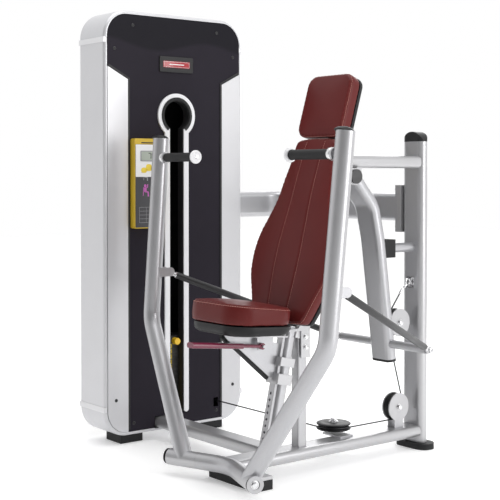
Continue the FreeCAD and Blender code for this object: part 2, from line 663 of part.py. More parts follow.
for side in (-1, 1):
    crossbar_ends.append(between("ball_pin_radius", side_point(side, (215, dim.crossbar_y, dim.crossbar_z)),
                                 side_point(side, (244, dim.crossbar_y, dim.crossbar_z))))
    crossbar_ends.append(ball("ball_radius", tuple(side_point(side, (dim.link_plane_x, dim.crossbar_y,
                                                                     dim.crossbar_z)))))
moving_cheeks = cheeks("moving_pulley_y", "moving_pulley_z", (347, "moving_pulley_z - 20"),
                       ("moving_pulley_y", "moving_pulley_z + 20"))
MOVING_BORE = cylinder("pulley_bore", 80, ("press_x - 40", "moving_pulley_y", "moving_pulley_z"), ALONG_X)
node(cut(fuse(rocker_tube, rocker_hub, crossbar, *crossbar_ends, *moving_cheeks), rocker_bore, MOVING_BORE),
     "rocker")
rocker_end = Vector(0, 344 - 285, 350 - 788).normalize()
node(rounded_bar("rocker_width", "rocker_depth", "rocker_round", 9,
                 (dim.press_x, 344, 350), ALONG_X, rocker_end), "rocker_end_cap")

# ---------------------------------------------------------------- pulleys and cable


def pulley(groove, rim, width, at, axis):
    """A grooved wheel that turns on its pin: a half section turned about the sketch's upright axis."""
    body, sketch = new_body()
    bore, half = dim.pulley_bore + dim.running_gap, width / 2
    groove_floor = groove - dim.cable_radius - 0.6
    lip = rim - groove_floor
    outline(sketch, [((bore, -half),), ((rim, -half),), ((rim, -lip),), ((groove_floor, 0), (rim, lip)),
                     ((rim, half),), ((bore, half),)])
    turned = body.newObject("PartDesign::Revolution", "Revolution")
    turned.Profile = sketch
    turned.ReferenceAxis = (sketch, ["V_Axis"])
    turned.Angle = 360
    across = ALONG_Y if Vector(axis).dot(ALONG_X) > 0.9 else ALONG_X
    return place(body, at, across, Vector(across).cross(Vector(axis)))


stack_pulley_y = dim.tower_y + dim.groove_radius
turn_pulley_y = dim.outlet_y - dim.groove_radius
cable_z = dim.base_pulley_z - dim.groove_radius
outlet_centre = Vector(dim.stack_x + dim.outlet_groove_radius, dim.outlet_y, cable_z + dim.outlet_groove_radius)
PULLEYS = {
    "base_pulley": ((dim.press_x, dim.base_pulley_y, dim.base_pulley_z), ALONG_X),
    "moving_pulley": ((dim.press_x, dim.moving_pulley_y, dim.moving_pulley_z), ALONG_X),
    "stack_pulley": ((dim.stack_x, stack_pulley_y, dim.top_pulley_z), ALONG_X),
    "turn_pulley": ((dim.stack_x, turn_pulley_y, dim.top_pulley_z), ALONG_X),
}
for label, (centre, axis) in PULLEYS.items():
    node(pulley(dim.groove_radius, dim.pulley_radius, dim.pulley_width, centre, axis), label)
node(pulley(dim.outlet_groove_radius, dim.outlet_pulley_radius, dim.pulley_width, tuple(outlet_centre), ALONG_Y),
     "outlet_pulley")
node(pulley(dim.floor_groove_radius, dim.floor_pulley_radius, 30,
            (dim.floor_pulley_x, dim.floor_pulley_y, cable_z), UP), "floor_pulley")


def pulley_pin(at, axis, reach):
    return between("pulley_bore", Vector(*at) - Vector(axis) * reach, Vector(*at) + Vector(axis) * reach)


def wrap_end(centre, other, side):
    """Where a straight cable leaves one pulley for another of the same size on its other side."""
    centre, other = Vector(0, *centre), Vector(0, *other)
    gap = other - centre
    swing = math.acos(2 * dim.groove_radius / gap.Length)
    heading = Rotation(ALONG_X, math.degrees(side * swing)).multVec(Vector(gap).normalize())
    return centre + heading * dim.groove_radius


base_centre = (dim.base_pulley_y, dim.base_pulley_z)
moving_centre = (dim.moving_pulley_y, dim.moving_pulley_z)
leave_base = wrap_end(base_centre, moving_centre, -1)
meet_moving = wrap_end(moving_centre, base_centre, -1)
to_anchor = Vector(0, dim.anchor_y, dim.anchor_z) - Vector(0, *moving_centre)
anchor_swing = math.degrees(math.acos(dim.groove_radius / to_anchor.Length))
leave_moving = (Vector(0, *moving_centre)
                + Rotation(ALONG_X, anchor_swing).multVec(Vector(to_anchor).normalize()) * dim.groove_radius)


def press_plane(point):
    return Vector(dim.press_x, point.y, point.z)


def arc_about(centre, start, end, via):
    """A circular edge from start to end round a centre, passing on the side of a direction."""
    radius = (start - centre).Length
    return Part.Arc(start, centre + Vector(via).normalize() * radius, end).toShape()


def cable(label, edges):
    """A cable tube along joined straight and round edges."""
    path = doc.addObject("Part::Feature", "Path")
    path.Shape = Part.Wire(edges)
    return node(swept_round(path, "cable_radius"), label)


def line(start, end):
    return Part.LineSegment(Vector(start), Vector(end)).toShape()


g = dim.groove_radius
stack_top = (dim.stack_x, dim.tower_y, dim.top_pulley_z)
over_stack = Vector(dim.stack_x, stack_pulley_y, dim.top_pulley_z + g)
over_turn = Vector(dim.stack_x, turn_pulley_y, dim.top_pulley_z + g)
down_turn = Vector(dim.stack_x, dim.outlet_y, dim.top_pulley_z)
down_outlet = outlet_centre - ALONG_X * dim.outlet_groove_radius
under_outlet = outlet_centre - UP * dim.outlet_groove_radius
at_floor = Vector(dim.floor_pulley_x, dim.floor_pulley_y, cable_z)
meet_floor = at_floor - ALONG_Y * dim.floor_groove_radius
leave_floor = at_floor + ALONG_X * dim.floor_groove_radius
under_base = Vector(dim.press_x, dim.base_pulley_y, cable_z)
base_middle = Vector(dim.press_x, *base_centre)
moving_middle = Vector(dim.press_x, *moving_centre)
cable("press_cable", [
    arc_about(Vector(*PULLEYS["stack_pulley"][0]), Vector(*stack_top), over_stack, (0, -1, 1)),
    line(over_stack, over_turn),
    arc_about(Vector(*PULLEYS["turn_pulley"][0]), over_turn, down_turn, (0, 1, 1)),
    line(down_turn, down_outlet),
    arc_about(outlet_centre, down_outlet, under_outlet, (-1, 0, -1)),
    line(under_outlet, meet_floor),
    arc_about(at_floor, meet_floor, leave_floor, (1, -1, 0)),
    line(leave_floor, under_base),
    arc_about(base_middle, under_base, press_plane(leave_base), (0, 1, -0.2)),
])
cable("lower_cable_span", [line(press_plane(leave_base), press_plane(meet_moving))])
cable("upper_cable_span", [
    arc_about(moving_middle, press_plane(meet_moving), press_plane(leave_moving), (0, -1, 0.1)),
    line(press_plane(leave_moving), (dim.press_x, dim.anchor_y, dim.anchor_z)),
])
head_top = dim.stack_bottom + dim.plate_count * dim.plate_pitch + 1 + dim.head_plate_thick
STEM_TOP = head_top + 40
cable("stack_cable", [line((dim.stack_x, dim.tower_y, STEM_TOP), stack_top)])

anchor_plate = box(("press_x - 18", "beam_rear - 6", 596), ("press_x + 18", "beam_rear", 640))
anchor_ring = doc.addObject("Part::Torus", "Ring")
bind(anchor_ring, Radius1=11, Radius2=3.5)
place(anchor_ring, ("press_x", "beam_rear - 19", 622), ALONG_Y, ALONG_X)
anchor_hook = between(4, (dim.press_x, 463, 612), (dim.press_x, dim.anchor_y + 2, dim.anchor_z + 4))
anchor_ferrule = ball(5.5, ("press_x", dim.anchor_y + 4, dim.anchor_z + 6))
anchor = fuse(anchor_plate, anchor_ring, anchor_hook, anchor_ferrule)
node(cut(anchor, doc.getObjectsByLabel("upper_cable_span")[0]), "cable_anchor")

# ---------------------------------------------------------------- links


def link(side):
    """A link rod with a ball rod end at the rocker's cross bar and one between the arm's ears."""
    rear = side_point(side, (dim.link_plane_x, dim.crossbar_y, dim.crossbar_z))
    front = side_point(side, (dim.eye_x, dim.eye_y, dim.eye_z))
    along = (front - rear).normalize()
    ring_axis = (ALONG_X - along * ALONG_X.dot(along)).normalize()
    half = dim.rod_end_width / 2
    pieces = [between("link_radius", rear + along * 38, front - along * 38)]
    for eye, inward in ((rear, along), (front, along * -1)):
        pieces.append(between("rod_end_radius", eye - ring_axis * half, eye + ring_axis * half))
        pieces.append(between("rod_end_neck", eye + inward * (dim.rod_end_radius - 3),
                              eye + inward * dim.rod_end_length))
    pieces.append(between("ball_pin_radius", front - ring_axis * 12, front + ring_axis * 12))
    socket = between("ball_radius + running_gap", rear - ring_axis * 10, rear + ring_axis * 10)
    return cut(fuse(*pieces), socket)


# ---------------------------------------------------------------- press arms


def arm(side, name):
    """One press arm: hub, bent tube, handle bar and the ears for its link, welded together."""
    foot = pivot_point(side, dim.hub_length / 2)
    knee = side_point(side, (dim.arm_knee_x, dim.arm_knee_y, dim.arm_knee_z))
    top = side_point(side, (dim.arm_top_x, dim.arm_top_y, dim.arm_top_z))
    path = bent_path([foot, knee, top], [dim.arm_bend_radius])
    tube_outside, tube_inside = swept_round(path, "arm_radius"), swept_round(path, "arm_radius - arm_wall")
    hub = between("pivot_radius", pivot_point(side, dim.hub_gap), pivot_point(side, dim.hub_length))
    hub_bore = between("pivot_shaft_radius + running_gap", pivot_point(side, -1),
                       pivot_point(side, dim.hub_length + 1))
    bar = between("handle_bar_radius", side_point(side, (dim.arm_top_x - 4, dim.handle_y, dim.handle_z)),
                  side_point(side, (dim.grip_inner_x, dim.handle_y, dim.handle_z)))
    collar = between("collar_radius", side_point(side, (dim.grip_outer_x, dim.handle_y, dim.handle_z)),
                     side_point(side, (dim.grip_outer_x + dim.collar_length, dim.handle_y, dim.handle_z)))
    ears = []
    for offset in (-dim.ear_gap / 2 - dim.ear_thick, dim.ear_gap / 2):
        ear_x = dim.press_x + side * dim.eye_x + offset
        ears.append(cylinder("ear_radius", "ear_thick", (ear_x, "eye_y", "eye_z"), ALONG_X))
        ears.append(box((ear_x, -345, "eye_z - ear_radius"), (f"{ear_x} + ear_thick", "eye_y",
                                                               "eye_z + ear_radius")))
    shell = cut(fuse(tube_outside, bar, collar, *ears), tube_inside)
    node(cut(fuse(shell, hub), hub_bore), name + "_arm")

    cap = doc.addObject("Part::Ellipsoid", "Dome")
    bind(cap, Radius1=13, Radius2="arm_radius", Radius3="arm_radius", Angle1=0)
    tilt = (top - knee).normalize()
    cap.Placement = Placement(top, Rotation(UP, tilt))
    hub_end = pivot_point(side, dim.hub_length)
    direction = pivot_direction(side)
    hub_cap = between("hub_cap_radius", hub_end, hub_end + direction * 6)
    bolt = hex_head(19, 6, tuple(hub_end + direction * 6), direction)
    inner = side_point(side, (dim.grip_inner_x, dim.handle_y, dim.handle_z))
    outer = side_point(side, (dim.grip_outer_x, dim.handle_y, dim.handle_z))
    node(cut(between("grip_radius", inner, outer), between("handle_bar_radius", inner, outer)), name + "_grip")
    disc_end = inner - ALONG_X * side * dim.disc_length
    screw_end = disc_end - ALONG_X * side * 2
    disc = fuse(between("disc_radius", inner, disc_end), between(7, disc_end, screw_end))
    node(group(cap, fuse(hub_cap, bolt), disc), name + "_arm_ends")


for arm_side, arm_name in ((1, "right"), (-1, "left")):
    arm(arm_side, arm_name)
    node(link(arm_side), arm_name + "_link")

# ---------------------------------------------------------------- tower housing

# Tower slabs are drawn looking at the front: local X runs along +Y and local Z along +X.
TOWER_MIDDLE_Z = "(tower_bottom + tower_top) / 2"
tower_height = dim.tower_top - dim.tower_bottom


def tower_ring(inset, depth, x):
    """A round-cornered slab of the tower's outline, pulled in by a number."""
    return rounded_bar(2 * dim.tower_half - 2 * inset, tower_height - 2 * inset, dim.tower_corner - inset,
                       depth, (x, "tower_y", TOWER_MIDDLE_Z), ALONG_Y, ALONG_X)


rim_body = tower_ring(0, "tower_front - tower_rear", "tower_rear")
rim_pad = rim_body.Tip
rim_depth = dim.tower_front - dim.tower_rear
fillet_edges(rim_body, rim_pad, "tower_edge",
             lambda edge: all(abs(abs(v.Z - rim_depth / 2) - rim_depth / 2) < 0.01 for v in edge.Vertexes))
rim = cut(rim_body, tower_ring(dim.tower_lip, "tower_front - tower_rear + 20", "tower_rear - 10"),
          tower_ring(dim.tower_wall, "tower_front - tower_rear - 32", "tower_rear + 16"))


def tower_slice(low, high, inset=20):
    """A box that keeps the part of the tower between two heights."""
    return box((f"tower_rear - {inset}", f"tower_y - tower_half - {inset}", low),
               (f"tower_front + {inset}", f"tower_y + tower_half + {inset}", high))


beam_notch = box(("tower_front - 40", "cross_y - cross_width / 2 - 3", "beam_bottom - 1"),
                 ("tower_front + 10", "cross_y + cross_width / 2 + 3", "beam_bottom + beam_height + 4"))
half_trim = dim.trim_height / 2
node(common(rim, tower_slice(f"cap_seam + {half_trim}", "tower_top + 5")), "tower_cap")
node(common(rim, tower_slice(f"base_seam + {half_trim}", f"cap_seam - {half_trim}")), "tower_band")
node(cut(common(rim, tower_slice(0, f"base_seam - {half_trim}")), beam_notch), "tower_base")
trim_slab = cut(tower_ring(-dim.trim_proud, "tower_front - tower_rear - 2", "tower_rear + 1"),
                tower_ring(dim.tower_lip, "tower_front - tower_rear + 20", "tower_rear - 10"))
node(group(*(common(trim_slab, tower_slice(f"{middle} - {half_trim}", f"{middle} + {half_trim}"))
             for middle in ("cap_seam", "base_seam"))), "trim_bands")

PANEL_INSET = 14
cable_notch = box(("tower_front - 40", "outlet_y - 12", cable_z - 25), ("tower_front + 10", "outlet_y + 12",
                                                                        cable_z + 12))


def ring_drop(radius, half):
    """How far below a ring's middle a straight leg at some half-width meets it."""
    return math.sqrt(radius ** 2 - half ** 2)


def slot_steps(half, radius, bottom):
    """The keyhole outline: a straight slot running up into a round head, drawn about the tower's middle."""
    shoulder = dim.slot_ring_z - ring_drop(radius, half)
    return [((half, shoulder),), ((0, dim.slot_ring_z + radius), (-half, shoulder)), ((-half, bottom),),
            ((half, bottom),)]


slot_hole = slab(slot_steps(dim.slot_half, dim.slot_ring_inner, dim.slot_bottom - 5), 60,
                 ("tower_front - 30", "tower_y", 0), ALONG_Y, ALONG_X)
panel_blank = tower_ring(PANEL_INSET, "panel_thick", "tower_front - panel_thick")
node(cut(panel_blank, slot_hole, beam_notch, cable_notch), "front_panel")
node(tower_ring(PANEL_INSET, 5, "tower_rear + 3"), "back_panel")

panel_half = dim.tower_half - PANEL_INSET
strip_inner = panel_half - dim.strip_width
strip_low = dim.tower_bottom + PANEL_INSET
corner = dim.tower_corner - PANEL_INSET
corner_middle = corner * (1 - math.sqrt(0.5))


def strip(side):
    """A light strip down one side of the front, with a slanted top and a round bottom corner."""
    steps = [((side * strip_inner, 1381),), ((side * panel_half, 1426),),
             ((side * panel_half, strip_low + corner),),
             ((side * (panel_half - corner_middle), strip_low + corner_middle),
              (side * (panel_half - corner), strip_low)),
             ((side * strip_inner, strip_low),)]
    return cut(slab(steps, "strip_thick", ("tower_front", "tower_y", 0), ALONG_Y, ALONG_X), cable_notch)


node(group(strip(1), strip(-1)), "side_strips")

leg_tip = (dim.slot_leg_half - dim.slot_half) / 2
trim_outer = dim.slot_ring_z - ring_drop(dim.slot_ring_radius, dim.slot_leg_half)
trim_inner = dim.slot_ring_z - ring_drop(dim.slot_ring_inner, dim.slot_half)
tip_z = dim.slot_bottom + leg_tip
slot_trim_steps = [
    ((-dim.slot_leg_half, trim_outer),),
    ((0, dim.slot_ring_z + dim.slot_ring_radius), (dim.slot_leg_half, trim_outer)),
    ((dim.slot_leg_half, tip_z),),
    ((dim.slot_half + leg_tip, dim.slot_bottom), (dim.slot_half, tip_z)),
    ((dim.slot_half, trim_inner),),
    ((0, dim.slot_ring_z + dim.slot_ring_inner), (-dim.slot_half, trim_inner)),
    ((-dim.slot_half, tip_z),),
    ((-dim.slot_half - leg_tip, dim.slot_bottom), (-dim.slot_leg_half, tip_z)),
]
node(slab(slot_trim_steps, 7, ("tower_front", "tower_y", 0), ALONG_Y, ALONG_X), "slot_trim")

node(rounded_bar("badge_width", "badge_height", 5, 5, ("tower_front", "tower_y", "badge_z"),
                 ALONG_Y, ALONG_X), "badge")
node(rounded_bar("placard_width", dim.placard_top - dim.placard_bottom, 8, "placard_depth",
                 ("tower_front", "placard_rear - placard_width / 2", "(placard_bottom + placard_top) / 2"),
                 ALONG_Y, ALONG_X), "placard")
node(group(*(box((-640, f"tower_y + {shift} - tower_foot_length / 2", 0),
                 (-536, f"tower_y + {shift} + tower_foot_length / 2", "tower_bottom"))
             for shift in (-dim.tower_foot_spread, dim.tower_foot_spread))), "tower_feet")

# ---------------------------------------------------------------- tower frame and weight stack

ROD_YS = [dim.tower_y - dim.rod_spread, dim.tower_y + dim.rod_spread]
rod_holes = [cylinder("rod_radius", 1700, ("stack_x", rod_y, 20)) for rod_y in ROD_YS]
FRAME_FLOOR = 38
floor_plate = box((-672, "tower_y - 220", FRAME_FLOOR), (-536, "tower_y + 220", "beam_bottom"))
columns = [box(("stack_x - 18", f"tower_y + {shift} - 18", "beam_bottom"),
               ("stack_x + 18", f"tower_y + {shift} + 18", 1500)) for shift in (-230, 230)]
top_bar = box(("stack_x - 22", "tower_y - 248", 1500), ("stack_x - 15", "tower_y + 248", 1590))
rod_bridge = box(("stack_x - 22", "tower_y - 248", 1480), ("stack_x + 22", "tower_y - rod_spread + 22", 1488))
rod_bridge_far = box(("stack_x - 22", "tower_y + rod_spread - 22", 1480),
                     ("stack_x + 22", "tower_y + 248", 1488))
tower_pins = [pulley_pin(*PULLEYS[name], 15) for name in ("stack_pulley", "turn_pulley")]
outlet_cheek = box(("stack_x + 15", "outlet_y - 19", "beam_bottom"), ("stack_x + 45", "outlet_y - 15", 165))
outlet_pin = between("pulley_bore", outlet_centre - ALONG_Y * 15, outlet_centre + ALONG_Y * 14)
cable_hole = cylinder(8, 60, ("stack_x", "outlet_y", 1450))
cross_pocket = box(("cross_end", "cross_y - cross_width / 2", "beam_bottom"),
                   (-500, "cross_y + cross_width / 2", 90))
tower_skeleton = fuse(floor_plate, *columns, top_bar, rod_bridge, rod_bridge_far, *tower_pins, outlet_cheek,
                      outlet_pin)
node(cut(tower_skeleton, *rod_holes, cross_pocket, cable_hole), "tower_frame")
guide_rods = [cylinder("rod_radius", 1490 - FRAME_FLOOR, ("stack_x", rod_y, FRAME_FLOOR)) for rod_y in ROD_YS]
node(group(*guide_rods), "guide_rods")


def stack_plate(bottom, thick, stem_hole):
    """A weight plate with holes for the guide rods, the stem and the selector pin."""
    plate = box(("stack_x - plate_depth / 2", "tower_y - plate_width / 2", bottom),
                ("stack_x + plate_depth / 2", "tower_y + plate_width / 2", f"{bottom} + {thick}"))
    holes = [cylinder("rod_radius + 1", 60, ("stack_x", rod_y, f"{bottom} - 5")) for rod_y in ROD_YS]
    if stem_hole:
        holes.append(cylinder("stem_radius + 1", 60, ("stack_x", "tower_y", f"{bottom} - 5")))
    holes.append(cylinder("pin_radius + 0.5", "plate_depth", ("stack_x", "tower_y", f"{bottom} + {thick} / 2"),
                          ALONG_X))
    return cut(plate, *holes)


# The resting plates are copies of one plate, one pitch apart.
first_plate = stack_plate("stack_bottom", "plate_thick", True)
doc.recompute()
resting = doc.addObject("Part::Feature", "RestingPlates")
resting.Shape = Part.makeCompound([first_plate.Shape.translated(UP * dim.plate_pitch * step)
                                   for step in range(int(dim.plate_count))])
node(resting, "weight_plates")

head_bottom = head_top - dim.head_plate_thick
head_plate = stack_plate(head_bottom, "head_plate_thick", False)
stem_low = dim.stack_bottom + 6
pin_z = head_bottom + dim.head_plate_thick / 2
stem = cylinder("stem_radius", f"{STEM_TOP} - {stem_low}", ("stack_x", "tower_y", stem_low))
pin_hole = cylinder("pin_radius + 0.5", 200, ("stack_x - 10", "tower_y", pin_z), ALONG_X)
node(cut(fuse(head_plate, stem), pin_hole), "head_plate")

pin_rod = cylinder("pin_radius", 78, ("stack_x", "tower_y", pin_z), ALONG_X)
pin_knob = cylinder("knob_radius", 26, ("stack_x + 76", "tower_y", pin_z), ALONG_X)
node(fuse(pin_rod, pin_knob), "selector_pin")

# ---------------------------------------------------------------- fasteners of the fixed frame

panel_face = dim.tower_front
strip_face = dim.tower_front + dim.strip_thick
screws = [(strip_face, shift, 173) for shift in (-275, 275)]
screws += [(panel_face, shift, 78) for shift in (-195, 195)]
screws += [(panel_face, shift, 1586) for shift in (-197, 197)]
screws += [(panel_face, shift, 1494) for shift in (-278, 278)]
heads = [cylinder(6, 2.5, (x, f"tower_y + {shift}", z), ALONG_X) for x, shift, z in screws]
flange_face = flange_x - 2 * dim.flange_thick
flange_bolts = [hex_head(22, 9, (flange_face, dim.tie_y + shift, bolt_z), ALONG_X * -1)
                for bolt_z in (822, 965) for shift in (-24, 17)]
leg_bolts = [hex_head(16, 7, (dim.press_x + 35, y, z), ALONG_X) for y, z in ((-68, 430), (-68, 466))]
base_reach = dim.pulley_width / 2 + 1.5 + dim.guard_thick
base_pin = pulley_pin(*PULLEYS["base_pulley"], base_reach)
floor_bolt = fuse(between("pulley_bore", (dim.floor_pulley_x, dim.floor_pulley_y, beam_top),
                          (dim.floor_pulley_x, dim.floor_pulley_y, cable_z + 17)),
                  hex_head(26, 12, (dim.floor_pulley_x, dim.floor_pulley_y, cable_z + 17), UP))
node(group(*heads, *flange_bolts, *leg_bolts, base_pin, floor_bolt), "fasteners")

# ---------------------------------------------------------------- check and write

doc.recompute()
bad = [item.Name for item in doc.Objects if {"Invalid", "Error"} & set(item.State)]
if bad:
    raise SystemExit("failed objects: " + ", ".join(bad))
os.makedirs("parts", exist_ok=True)
for item in nodes:
    shape = item.Shape
    if shape.isNull() or not shape.isValid() or not shape.Solids:
        raise SystemExit("bad shape: " + item.Label)
    shape.exportStep(os.path.join("parts", item.Label + ".step"))
print(len(nodes), "sub-parts written")
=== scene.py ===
import json
import math

import bmesh
import bpy
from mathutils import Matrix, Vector
from mathutils.bvhtree import BVHTree
from mathutils.kdtree import KDTree


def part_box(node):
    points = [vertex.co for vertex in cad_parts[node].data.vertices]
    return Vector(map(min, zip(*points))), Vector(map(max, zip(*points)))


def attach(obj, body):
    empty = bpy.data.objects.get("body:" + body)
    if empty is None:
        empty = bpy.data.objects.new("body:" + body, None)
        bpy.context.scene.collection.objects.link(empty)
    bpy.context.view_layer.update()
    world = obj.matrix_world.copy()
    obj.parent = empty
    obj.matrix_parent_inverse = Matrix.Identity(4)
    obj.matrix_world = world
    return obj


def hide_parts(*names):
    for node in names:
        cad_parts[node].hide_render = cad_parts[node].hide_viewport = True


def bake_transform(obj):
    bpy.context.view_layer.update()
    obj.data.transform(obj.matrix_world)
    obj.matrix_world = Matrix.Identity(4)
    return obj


# A seated press machine with a weight-stack tower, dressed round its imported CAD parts.
# Metres. +Z is up, the user faces -Y and the tower stands on the -X side.

MM = 0.001
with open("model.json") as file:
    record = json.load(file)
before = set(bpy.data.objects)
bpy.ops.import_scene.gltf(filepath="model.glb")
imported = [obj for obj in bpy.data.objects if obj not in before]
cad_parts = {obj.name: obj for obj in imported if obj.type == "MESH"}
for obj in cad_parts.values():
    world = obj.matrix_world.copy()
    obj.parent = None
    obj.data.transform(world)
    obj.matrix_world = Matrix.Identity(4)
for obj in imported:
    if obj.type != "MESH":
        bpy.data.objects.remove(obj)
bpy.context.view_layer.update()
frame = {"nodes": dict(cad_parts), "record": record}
nodes = frame["nodes"]

X = Vector((1, 0, 0))
Y = Vector((0, 1, 0))
Z = Vector((0, 0, 1))
PRESS_X = sum(corner.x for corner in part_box("rear_upright")) / 2
TOWER_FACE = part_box("front_panel")[1].x
TOWER_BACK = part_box("back_panel")[0].x
TOWER_Y = sum(corner.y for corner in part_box("front_panel")) / 2


# ---------------------------------------------------------------- camera, lights, floor

def make_camera():
    """The photograph's view: nearly level, a little above the seat, from the user's front right."""
    data = bpy.data.cameras.new("photo_camera")
    data.lens, data.sensor_width = 82.4, 36
    data.shift_y = -0.110
    camera = bpy.data.objects.new("photo_camera", data)
    camera.location = (3.158, -2.644, 1.020)
    heading = Vector((-0.7840, 0.6208, -0.01746))
    camera.rotation_euler = heading.to_track_quat("-Z", "Y").to_euler()
    bpy.context.scene.collection.objects.link(camera)
    bpy.context.scene.camera = camera


def soft_light(name, place, target, width, height, power):
    data = bpy.data.lights.new(name, "AREA")
    data.shape, data.size, data.size_y, data.energy = "RECTANGLE", width, height, power
    light = bpy.data.objects.new(name, data)
    light.location = place
    light.rotation_euler = (Vector(target) - Vector(place)).to_track_quat("-Z", "Y").to_euler()
    bpy.context.scene.collection.objects.link(light)


def make_studio():
    bpy.context.scene.view_settings.view_transform = "Standard"
    soft_light("right_softbox", (3.6, 1.4, 1.6), (0.0, 0.0, 0.8), 1.6, 2.6, 56)
    soft_light("top_softbox", (0.2, -0.4, 3.8), (0.0, 0.0, 0.0), 2.6, 2.6, 44)
    soft_light("rear_softbox", (-2.2, 3.4, 2.2), (0.0, 0.0, 0.9), 2.4, 2.4, 40)
    world = bpy.data.worlds.new("studio")
    world.use_nodes = True
    background = world.node_tree.nodes["Background"]
    # The room is white, and dimmer on the side that faces the machine's front.
    room = Nodes(world.node_tree)
    front = room.add("ShaderNodeVectorMath")
    front.operation = "DOT_PRODUCT"
    front.inputs[1].default_value = (0.50, -0.86, 0.05)
    room.feed(front.inputs[0], room.add("ShaderNodeTexCoord").outputs["Generated"])
    room.feed(background.inputs["Strength"], room.spread(front.outputs["Value"], 1.0, 0.10, 0.30, 0.90))
    background.inputs["Color"].default_value = (1, 1, 1, 1)
    bpy.context.scene.world = world
    half = 14.0
    mesh = bpy.data.meshes.new("floor")
    mesh.from_pydata([(-half, -half, 0), (half, -half, 0), (half, half, 0), (-half, half, 0)], [],
                     [(0, 1, 2, 3)])
    floor = bpy.data.objects.new("floor", mesh)
    bpy.context.scene.collection.objects.link(floor)
    white = finish("floor_white", (0.95, 0.95, 0.95), 0.6, mottle=0.01, specular=0.2)
    glow = white.node_tree.nodes["Principled BSDF"]
    glow.inputs["Emission Color"].default_value = (1, 1, 1, 1)
    glow.inputs["Emission Strength"].default_value = 0.24
    mesh.materials.append(white)


# ---------------------------------------------------------------- materials

class Nodes:
    """Makes and joins the nodes of one material or world."""

    def __init__(self, tree):
        self.tree = tree

    def feed(self, socket, value):
        """Give an input its value, or join it to another node's output."""
        if isinstance(value, bpy.types.NodeSocket):
            self.tree.links.new(value, socket)
        else:
            socket.default_value = value

    def add(self, kind, **inputs):
        made = self.tree.nodes.new(kind)
        for word, value in inputs.items():
            self.feed(made.inputs[word.replace("_", " ")], value)
        return made

    def mixed(self, share, first, second):
        """Two colours mixed by a share."""
        mix = self.tree.nodes.new("ShaderNodeMix")
        mix.data_type = "RGBA"
        for number, value in ((0, share), (6, first), (7, second)):
            self.feed(mix.inputs[number], value)
        return mix.outputs[2]

    def spread(self, source, low, high, start=0.0, end=1.0):
        """A value moved from one range to another, and kept inside it."""
        return self.add("ShaderNodeMapRange", Value=source, From_Min=start, From_Max=end, To_Min=low,
                        To_Max=high).outputs["Result"]

    def maths(self, kind, first, second=0.0):
        step = self.tree.nodes.new("ShaderNodeMath")
        step.operation = kind
        self.feed(step.inputs[0], first)
        self.feed(step.inputs[1], second)
        return step.outputs[0]


WORN = (0.62, 0.61, 0.60, 1)


def finish(name, colour, roughness, metallic=0.0, coat=0.0, grain=0.0, grain_size=0.4, mottle=0.04, wear=0.0,
           edge=0.0, leather=False, brushed=False, flakes=0.0, specular=0.5):
    """A procedural finish: colour variation, worn edges, roughness variation and a fine relief.

    grain is the relief's height and grain_size its spacing, both in millimetres.
    """
    material = bpy.data.materials.new(name)
    material.use_nodes = True
    nodes_of = Nodes(material.node_tree)
    add = nodes_of.add
    surface = material.node_tree.nodes["Principled BSDF"]

    def toned(share):
        return (*(min(1.0, channel * (1 + share)) for channel in colour), 1)

    place = add("ShaderNodeTexCoord").outputs["Object"]
    cloud = add("ShaderNodeTexNoise", Vector=place, Scale=9.0, Detail=4.0)
    tint = nodes_of.mixed(cloud.outputs["Fac"], toned(-mottle), toned(mottle))
    if flakes:
        fleck = add("ShaderNodeTexVoronoi", Vector=place, Scale=1600.0)
        tone = add("ShaderNodeSeparateColor", Color=fleck.outputs["Color"])
        tint = nodes_of.mixed(nodes_of.spread(tone.outputs[0], 0.0, 0.6), tint, toned(flakes))
    if wear:
        rub = add("ShaderNodeNewGeometry")
        ramp = add("ShaderNodeValToRGB", Fac=rub.outputs["Pointiness"])
        ramp.color_ramp.elements[0].position = 0.54
        ramp.color_ramp.elements[1].position = 0.66
        tint = nodes_of.mixed(nodes_of.spread(ramp.outputs["Color"], 0.0, wear), tint, WORN)
    smudge = add("ShaderNodeTexNoise", Vector=place, Scale=22.0, Detail=6.0)
    rough = nodes_of.spread(smudge.outputs["Fac"], roughness * 0.82, roughness * 1.18)
    for word, value in (("Base Color", tint), ("Roughness", rough), ("Metallic", metallic),
                        ("Coat Weight", coat), ("Coat Roughness", 0.12), ("Specular IOR Level", specular)):
        nodes_of.feed(surface.inputs[word], value)
    normal = {}
    if edge:
        soften = add("ShaderNodeBevel", Radius=edge * MM)
        soften.samples = 4
        normal = {"Normal": soften.outputs["Normal"]}
    if grain:
        where = place
        if brushed:
            where = add("ShaderNodeMapping", Vector=place, Scale=(1.0, 1.0, 0.03)).outputs["Vector"]
        if leather:
            relief = add("ShaderNodeTexVoronoi", Vector=where, Scale=1 / (grain_size * MM))
            relief.feature = "DISTANCE_TO_EDGE"
            height = relief.outputs["Distance"]
        else:
            relief = add("ShaderNodeTexNoise", Vector=where, Scale=1 / (grain_size * MM), Detail=3.0)
            height = relief.outputs["Fac"]
        bump = add("ShaderNodeBump", Strength=0.6, Distance=grain * MM, Height=height, **normal)
        normal = {"Normal": bump.outputs["Normal"]}
    for word, value in normal.items():
        nodes_of.feed(surface.inputs[word], value)
    return material


